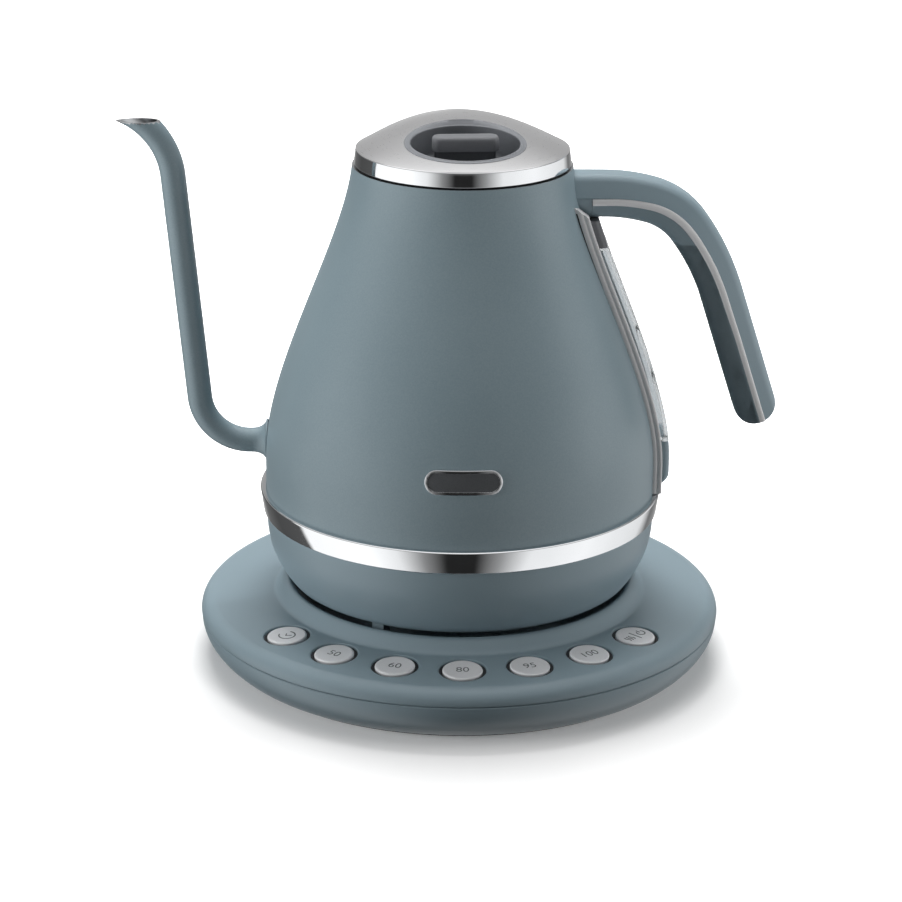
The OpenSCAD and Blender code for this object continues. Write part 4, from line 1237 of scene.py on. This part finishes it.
@dataclass
class Lid:
    """The lid: an off-centre brushed dome on a chrome ring, with a well and a grip bar in it."""

    foot_z: float = 206.5
    foot_r: float = 41.5
    height: float = 8.6
    back: float = 23.1
    # the powers by which the dome's rings draw in, rise and move back
    powers: tuple[float, float, float] = (1.12, 2.05, 1.33)
    wall: float = 1.0
    turned: float = 4.0
    well_r: float = 23.5
    well_y: float = -11.2
    well_up: float = 3.75
    tilt: float = 5.5
    depth: float = 10.5
    lip: float = 2.7
    lip_in: float = 0.12
    bar_size: Place = (25.6, 7.0, 5.4)
    bar_drop: float = 1.9
    stand_size: Place = (23.6, 3.2, 8.8)
    stand_back: float = 0.8

    def well_place(self) -> Matrix:
        """Give the well's own frame."""
        return (Matrix.Rotation(math.radians(self.turned), 4, "Z")
                @ Matrix.Translation(metres((0, self.well_y, self.foot_z + self.well_up)))
                @ Matrix.Rotation(math.radians(self.tilt), 4, "X"))

    def skin(self, name: str) -> Thing:
        """Make the dome's skin ring by ring, each drawn in, raised and moved back.

        Args:
            name: The skin's name.

        Returns:
            The skin, open below.
        """
        clear_bench()
        bpy.ops.mesh.primitive_circle_add(vertices=192, radius=self.foot_r * MM,
                                          location=(0, 0, self.foot_z * MM))
        obj = named(name)
        bpy.ops.object.transform_apply()
        bpy.ops.object.mode_set(mode="EDIT")
        bpy.ops.mesh.select_all(action="SELECT")
        share, y, z = 1.0, 0.0, self.foot_z
        draw, lift, shift = self.powers
        for i in range(1, 49):
            s = max(1 - (i / 48) ** draw, 0.004)
            p = 1 - s ** lift
            y2, z2 = self.back * p ** shift, self.foot_z + self.height * p
            extrude((0, (y2 - y) * MM, (z2 - z) * MM))
            bpy.ops.transform.resize(value=(s / share, s / share, 1), center_override=metres((0, y2, z2)))
            share, y, z = s, y2, z2
        bpy.ops.mesh.merge(type="CENTER")
        close_up(obj)
        if sum(face.normal.z for face in obj.data.polygons) < 0:
            bpy.ops.object.mode_set(mode="EDIT")
            bpy.ops.mesh.flip_normals()
            bpy.ops.object.mode_set(mode="OBJECT")
        return put(obj, Matrix.Rotation(math.radians(self.turned), 4, "Z"))

    def dome(self) -> Thing:
        """Make the dome of one thickness, with a hole for the well."""
        obj = modify(self.skin("lid_dome"), "SOLIDIFY", thickness=self.wall * MM, offset=-1.0)
        return cut(obj, put(rod("well cutter", self.well_r + 0.02, (-9, 20), 128), self.well_place()))

    def well(self) -> Thing:
        """Make the well, the outside of its lip laid along the dome."""
        r, c, d = self.well_r, self.well_r - self.lip, self.depth
        line = softened([(0, -d - 1.2, 0), (c + 1.2, -d - 1.2, 1.0), (c + 1.2, -0.9, 0.2),
                         (r, -0.9, 0.1), (r, 0.1, 0.2), (c + 1.2, 0.8, 1.0),
                         (c + 0.2, 0.6, 0.6), (c - 0.5, -d, 2.2), (0, -d, 0)], 6)
        obj = turn("lid_well", line, 160)
        group = obj.vertex_groups.new(name="lip")
        for v in obj.data.vertices:
            out, up = math.hypot(v.co.x, v.co.y) / MM, v.co.z / MM
            if out > c + 0.9 and up > -0.6:
                group.add([v.index], min((out - c - 0.9) / (r - c - 1.1), 1.0), "REPLACE")
        put(obj, self.well_place())
        over = self.skin("dome guide")
        modify(obj, "SHRINKWRAP", target=over, vertex_group=group.name, wrap_method="PROJECT",
               use_project_z=True, use_positive_direction=True, use_negative_direction=True,
               offset=-self.lip_in * MM)
        bpy.data.objects.remove(over)
        return obj

    def bar(self) -> Thing:
        """Make the grip bar across the well."""
        bar = soft_block("lid_grip_bar", self.bar_size, 2.6, 1.5)
        return put(bar, self.well_place() @ Matrix.Translation((0, 0, -self.bar_drop * MM)))

    def stand(self) -> Thing:
        """Make the web under the bar, set back from its front, wide and charcoal so that it also serves as
        painted shade under the bar.
        """
        post = soft_block("lid_grip_stand", self.stand_size, 1.2, 0.2)
        return put(post, self.well_place() @ Matrix.Translation((0, self.stand_back * MM, -self.depth * MM)))

    def build(self) -> None:
        """Make the lid's outer pieces."""
        hand_over(self.dome(), Finish.LID, "lid", "brushed_lid", "lid_shell", angle=40)
        ring = turn("lid_chrome_ring", softened(
            [(40.9, 200.6, 0.1), (42.3, 200.6, 0.35), (41.5, 206.45, 0.5), (40.3, 206.45, 0.1)], 5), 288)
        hand_over(ring, Finish.CHROME, "lid", "chrome", "lid_ring")
        # the well's lighter grey is painted light in place of the light that reaches into the well
        hand_over(self.well(), Finish.WELL_PLASTIC, "lid", "dark_plastic", "lid_cup", angle=40)
        # the grip bar's lighter grey is painted light in place of the light that reaches into the well
        hand_over(self.bar(), Finish.MID_PLASTIC, "lid", "dark_plastic", "lid_grip", angle=40)
        # the web's charcoal finish is painted shade under the grip bar
        hand_over(self.stand(), Finish.DARK_PLASTIC, "lid", "dark_plastic", angle=40)


# ---------- the base ----------


@dataclass
class PowerBase:
    """The round base: a tray below, a cover above with a ridge round its well, and seven buttons."""

    seam_z: float = 16.9
    tray_r: float = 104.6
    tray_draw: float = 9.2
    foot_z: float = 1.2
    edge_r: float = 6.5
    rim_r: float = 104.8
    fall: float = 3.8
    # the ridge's crest radius, its reach to either side and its height
    ridge: tuple[float, float, float] = (69.6, 6.0, 5.3)
    well_r: float = 67.8
    well_z: float = 22.4
    wall: float = 2.2
    button_r: float = 86.0
    button_step: float = 17.4
    hole_r: float = 9.1
    cap_r: float = 7.7
    cap_up: float = 0.25
    tower_r: float = 17.05
    gland_r: float = 5.3
    gland_z: float = 10.25

    def top(self, r: float) -> float:
        """Give the cover's height at a radius.

        Args:
            r: The radius.

        Returns:
            The height.
        """
        crest, reach, height = self.ridge
        slope = math.tan(math.radians(self.fall))
        plate_z = self.seam_z + self.edge_r + (self.rim_r - self.edge_r - r) * slope
        bulge = height * (1 + math.cos(math.pi * (r - crest) / reach)) / 2 if abs(r - crest) < reach else 0
        return plate_z + bulge

    def tray(self) -> Thing:
        """Make the tray with the hole for the cord's gland."""
        low_z, high = self.foot_z, self.seam_z - 0.3
        line = [(self.tray_r - self.tray_draw * (1 - (z - low_z) / (self.seam_z - low_z)) ** 2.3, z)
                for z in [low_z + (high - low_z) * i / 20 for i in range(21)]]
        low = (line[0][0] - 0.5, self.foot_z)
        line[0] = (line[0][0], self.foot_z + 0.35)
        top = [(line[-1][0] - 0.35, high), (line[-1][0] - self.wall, high)]
        line[-1] = (line[-1][0], high - 0.35)
        inside = [(r - self.wall, z) for r, z in reversed(line[4:-1])]
        tray = turn("tray_shell", [(0, self.foot_z), low] + line + top + inside + [(0, inside[-1][1])], 256)
        gland = rod("gland hole", self.gland_r, (60, 120), 40, (0, 0, self.gland_z), (0, 1, 0), (1, 0, 0))
        return cut(tray, gland)

    def cover(self) -> Thing:
        """Make the cover, with the button holes flared at the top."""
        edge = [(self.rim_r - self.edge_r + on_circle(self.edge_r, a)[0],
                 self.seam_z + on_circle(self.edge_r, a)[1]) for a in [i * 86.2 / 14 for i in range(1, 15)]]
        # wide steps over the plate, fine ones over the ridge
        run = [98.0 - 2 * i for i in range(11)] + [77.0 - 0.6 * i for i in range(16)]
        flat = [(r, self.top(r)) for r in run if r > self.well_r + 0.4]
        wall_top = self.top(self.well_r)
        well = softened([(*flat[-1], 0), (self.well_r, wall_top, 0.7), (self.well_r - 0.1, self.well_z, 1.2),
                         (self.tower_r, self.well_z, 0)], 5, closed=False)[1:]
        low = self.well_z - self.wall
        under = [(self.tower_r, low), (self.well_r + self.wall, low)]
        under += [(r, self.top(r) - self.wall) for r in (70.1, 71.5, 73.0, 74.5, 76.0, 88.0, 98.0)]
        under += [(self.rim_r - self.edge_r + on_circle(self.edge_r - self.wall, a)[0],
                   self.seam_z + on_circle(self.edge_r - self.wall, a)[1]) for a in (80, 60, 40, 20, 0)]
        foot = [(self.rim_r - 0.35, self.seam_z), (self.rim_r - 0.05, self.seam_z + 0.3)]
        cover = turn("cover_shell", foot + edge + flat + well + under, 320)
        flare = [(self.hole_r + 0.5 * (1 - math.cos(math.radians(a))), -0.5 + 0.5 * math.sin(math.radians(a)))
                 for a in range(0, 91, 15)]
        line = [(0, -8), (self.hole_r, -8)] + flare + [(self.hole_r + 0.5, 4), (0, 4)]
        for i in range(7):
            cut(cover, put(turn("hole", line, 72), self.button_place(i)))
        return cover

    def button_place(self, i: int) -> Matrix:
        """Give the frame of a button: X across, Y inwards, Z out of the cover.

        Args:
            i: The number of the button, from 0 at the left.

        Returns:
            The frame as a matrix.
        """
        about = math.radians((i - 3) * self.button_step)
        return (Matrix.Rotation(about, 4, "Z")
                @ Matrix.Translation(metres((0, -self.button_r, self.top(self.button_r))))
                @ Matrix.Rotation(math.radians(self.fall), 4, "X"))

    def build(self) -> None:
        """Make the tray, the cover and the buttons."""
        hand_over(self.tray(), Finish.SATIN_PLASTIC, "base", "satin_plastic", "base_tray")
        hand_over(self.cover(), Finish.SATIN_PLASTIC, "base", "satin_plastic", "base_cover", angle=30)
        keys = ["key_keep_warm"] + [f"key_preset_{c}" for c in "abcde"] + ["key_start_stop"]
        marks = [KeepWarmMark(), *[NumberMark(t) for t in ("50", "60", "80", "95", "100")], StartStopMark()]
        for i, (key, mark) in enumerate(zip(keys, marks)):
            place = self.button_place(i)
            cap = put(self.cap(i + 1), place)
            hand_over(cap, Finish.SILVER, key, "button_silver", f"button_{i + 1}", angle=40)
            above = Matrix.Translation((0, 0, (self.cap_up - 0.14) * MM))
            sign = put(mark.make(f"button_mark_{i + 1}"), place @ above)
            fit_out(dress(sign, Finish.PRINT), key, "button_silver")

    def cap(self, number: int) -> Thing:
        """Make a dished cap with a rolled edge, and its stem.

        Args:
            number: The cap's number, from 1.

        Returns:
            The cap.
        """
        u, r = self.cap_up, self.cap_r
        line = [(0, u - 0.15), (5.6, u - 0.15), (6.2, u - 0.08), (6.7, u), (7.0, u)]
        line += [(r - 0.7 + on_circle(0.7, a)[0], u - 0.7 + on_circle(0.7, a)[1]) for a in range(75, -1, -15)]
        line += [(r, u - 3.0), (2.5, u - 3.0), (2.5, u - 6.5), (0, u - 6.5)]
        return turn(f"button_cap_{number}", line, 72)


def ribbon(points: Outline, width: float) -> list[Place]:
    """Give the outline of a stroke of one width along a flat line.

    Args:
        points: The line.
        width: The stroke's width.

    Returns:
        The corner points, at height 0.
    """
    left, right = [], []
    for i, p in enumerate(points):
        a = Vector(points[max(i - 1, 0)])
        b = Vector(points[min(i + 1, len(points) - 1)])
        side = (b - a).normalized().orthogonal() * width / 2
        left.append((p[0] + side.x, p[1] + side.y, 0))
        right.append((p[0] - side.x, p[1] - side.y, 0))
    return left + right[::-1]


def strokes(name: str, lines: list[Outline], width: float = 0.5) -> Thing:
    """Make a mark of several flat strokes, joined in one piece.

    Args:
        name: The mark's name.
        lines: The line of each stroke.
        width: The width of all of them.

    Returns:
        The mark.
    """
    made = [plate(name, ribbon(line, width), (0, 0, 0.04)) for line in lines]
    clear_bench()
    for piece in made:
        piece.select_set(True)
    bpy.context.view_layer.objects.active = made[0]
    if len(made) > 1:
        bpy.ops.object.join()
    return made[0]


@dataclass
class NumberMark:
    """A plain number printed on a cap."""

    text: str
    size: float = 5.3

    def make(self, name: str) -> Thing:
        """Make the number as thin raised print.

        Args:
            name: The print's name.

        Returns:
            The print.
        """
        clear_bench()
        bpy.ops.object.text_add(location=(0, 0, 0))
        obj = bpy.context.object
        obj.data.body, obj.data.size = self.text, self.size * MM
        obj.data.align_x, obj.data.align_y = "CENTER", "CENTER"
        obj.data.extrude, obj.data.offset = 0.02 * MM, -0.02 * MM
        obj.data.resolution_u = 4
        bpy.ops.object.convert(target="MESH")
        obj = named(name)
        bpy.ops.object.transform_apply()
        return close_up(obj)


@dataclass
class KeepWarmMark:
    """An open ring with a short hand, for keeping warm."""

    radius: float = 3.2

    def make(self, name: str) -> Thing:
        """Make the mark."""
        ring = [on_circle(self.radius, a) for a in range(-150, 121, 15)]
        return strokes(name, [ring, [(-1.2, 0.7), (0.1, -0.7), (1.5, 1.2)]])


@dataclass
class StartStopMark:
    """Steam and a power sign either side of a thin bar, for starting and stopping."""

    def make(self, name: str) -> Thing:
        """Make the mark.

        Args:
            name: The mark's name.

        Returns:
            The mark.
        """
        steam = [[(x + 0.35 * math.sin(math.radians(a)), -1.7 + a / 106) for a in range(0, 361, 45)]
                 for x in (-5.0, -3.7, -2.4)]
        ring = [(3.7 + on_circle(1.7, a)[0], on_circle(1.7, a)[1] - 0.1) for a in range(125, 416, 20)]
        return strokes(name, [*steam, [(0, -3.0), (0, 3.0)], ring, [(3.7, 0.3), (3.7, 2.2)]])


# ---------- the studio ----------


@dataclass
class Studio:
    """Floor, lamps, surroundings and camera."""

    camera_place: Place = (-18.72, -1072.42, 458.25)
    camera_turn: Place = (70.6696, -0.368, -0.6709)
    lens: float = 113.109
    surround: float = 0.01
    # brightness round the horizon, by degrees from the front, and of the sky, by height
    stops: tuple = ((-180, 1.0), (-170, 0.5), (-156, 0.15), (-135, 0.08), (-108, 0.10), (-104, 1.25),
                    (-60, 1.35), (-38, 1.0), (-22, 0.30), (-9, 0.02), (9, 0.02), (24, 0.36), (42, 1.0),
                    (80, 1.15), (132, 0.9), (146, 0.18), (160, 0.3), (172, 0.6))
    sky_stops: tuple = ((0.0, 0.0), (0.28, 0.5), (0.42, 0.22), (0.60, 0.8), (0.80, 1.0), (1.0, 1.35))
    # heights between which the horizon's brightness gives way to the sky's
    skyline: tuple[float, float] = (0.12, 0.26)
    paper: Colour = (0.86, 0.86, 0.86, 1)
    # where each glow of the floor begins and ends, in metres from the middle, and its strengths there
    floor_dim: tuple = (0.17, 0.4, 0.05, 0.8)
    floor_lift: tuple = (0.09, 0.24, 0.16, 1.0)
    # each lamp's name, place and target in metres, its side in metres and its watts
    lamps: tuple = (("top lamp", (0.0, 0.1, 1.7), (0, 0, 0.1), 1.4, 8),
                    ("back lamp", (0.0, 0.8, 1.5), (0, 0, 0.1), 1.0, 28),
                    ("front left lamp", (-1.25, -0.85, 0.7), (0, 0, 0.12), 0.8, 2.0),
                    ("left lamp", (-1.3, -0.35, 0.3), (0, 0, 0.12), 0.7, 11),
                    ("right lamp", (1.3, -0.1, 0.3), (0, 0, 0.12), 0.7, 7.5))

    def greys(self, stops: tuple | list, top: float) -> list[tuple[float, Colour]]:
        """Turn stops of position and brightness into greys, as shares of the brightest."""
        return [(place, (v / top, v / top, v / top, 1)) for place, v in stops]

    def world(self) -> None:
        """Build surroundings that change with direction, and are white to the camera."""
        world = bpy.data.worlds.new("studio")
        bpy.context.scene.world = world
        world.use_nodes = True
        g = Graph(world.node_tree)
        g.tree.nodes.clear()
        x, y, z = g.add("ShaderNodeSeparateXYZ", g.add("ShaderNodeTexCoord").outputs["Generated"]).outputs
        angle = g.math("ARCTAN2", x, g.math("MULTIPLY", y, -1.0))
        top = max(v for _, v in self.stops)
        round_about = [((degrees + 180) / 360, v) for degrees, v in self.stops]
        low = g.ramp(g.remap(angle, -math.pi, math.pi), self.greys(round_about, top))
        sky = g.ramp(z, self.greys(self.sky_stops, top))
        around = g.add("ShaderNodeMix", g.remap(z, *self.skyline), *[None] * 5, low, sky, data_type="RGBA")
        lit = g.add("ShaderNodeBackground", around.outputs[2], top)
        even = g.add("ShaderNodeBackground", (self.surround,) * 3 + (1,))
        white = g.add("ShaderNodeBackground")
        path = g.add("ShaderNodeLightPath").outputs
        far = g.blend(path["Is Glossy Ray"], even.outputs[0], lit.outputs[0])
        seen = g.math("MAXIMUM", path["Is Camera Ray"], path["Is Transmission Ray"])
        g.add("ShaderNodeOutputWorld", g.blend(seen, far, white.outputs[0]))

    def floor(self) -> None:
        """Lay the pale floor, which keeps the shadow and which gloss looks past."""
        clear_bench()
        bpy.ops.mesh.primitive_plane_add(size=12, location=(0, 0, 0))
        ground = bpy.context.object
        ground.name = "floor"
        m = Mix("pale floor")
        m.tree.nodes.remove(m.shader)
        paper = m.add("ShaderNodeBsdfDiffuse", self.paper)
        away = m.add("ShaderNodeVectorMath", m.coords, operation="LENGTH").outputs["Value"]
        dim, lift = (m.add("ShaderNodeEmission", None, m.remap(away, *ends, interpolation_type="SMOOTHSTEP"))
                     for ends in (self.floor_dim, self.floor_lift))
        both = m.add("ShaderNodeAddShader", paper.outputs[0], lift.outputs[0])
        path = m.add("ShaderNodeLightPath").outputs
        seen = m.blend(path["Is Camera Ray"], dim.outputs[0], both.outputs[0])
        through = m.math("MAXIMUM", path["Is Glossy Ray"], path["Is Transmission Ray"])
        final = m.blend(through, seen, m.add("ShaderNodeBsdfTransparent").outputs[0])
        m.link(final, m.tree.nodes["Material Output"].inputs["Surface"])
        ground.data.materials.append(m.material)

    def lamp(self, name: str, place: Place, target: Place, size: float, watts: float) -> None:
        """Hang a soft square lamp.

        Args:
            name: The lamp's name.
            place: Where it hangs, in metres.
            target: The point it is aimed at, in metres.
            size: Its side in metres.
            watts: Its power.
        """
        clear_bench()
        bpy.ops.object.light_add(type="AREA", location=place)
        lamp = bpy.context.object
        lamp.name = name
        lamp.data.size, lamp.data.energy = size, watts
        aim = Vector(target) - Vector(place)
        lamp.rotation_euler = aim.to_track_quat("-Z", "Y").to_euler()
        lamp.visible_glossy = False

    def camera(self) -> None:
        """Set the camera."""
        clear_bench()
        bpy.ops.object.camera_add(location=metres(self.camera_place),
                                  rotation=tuple(math.radians(a) for a in self.camera_turn))
        camera = bpy.context.object
        camera.data.lens = self.lens
        camera.data.clip_end = 50
        bpy.context.scene.camera = camera

    def build(self) -> None:
        """Set up the whole studio."""
        self.camera()
        self.world()
        self.floor()
        for lamp in self.lamps:
            self.lamp(*lamp)
        bpy.context.scene.view_settings.view_transform = "Standard"


def dress_solids() -> None:
    """Give every solid that still shows the finish of its material slot."""
    slots = {part["node"]: part["material_slot"] for part in frame["record"]["subparts"]}
    for name, obj in frame["nodes"].items():
        finish = SLOT_FINISH[slots[name]]
        if not obj.material_slots:
            obj.data.materials.append(finish.material)
        for place in obj.material_slots:
            place.material = finish.material
        if not obj.hide_render:
            log.info("%s: kept as its solid, in %s", name, finish.value.name)


def main() -> None:
    """Build every piece in order."""
    Studio().build()
    vessel = Vessel()
    vessel.build()
    Spout().build()
    Handle().build(vessel)
    Gauge().build(vessel)
    Badge().build(vessel)
    Lid().build()
    PowerBase().build()
    dress_solids()


if __name__ == "__main__":
    main()
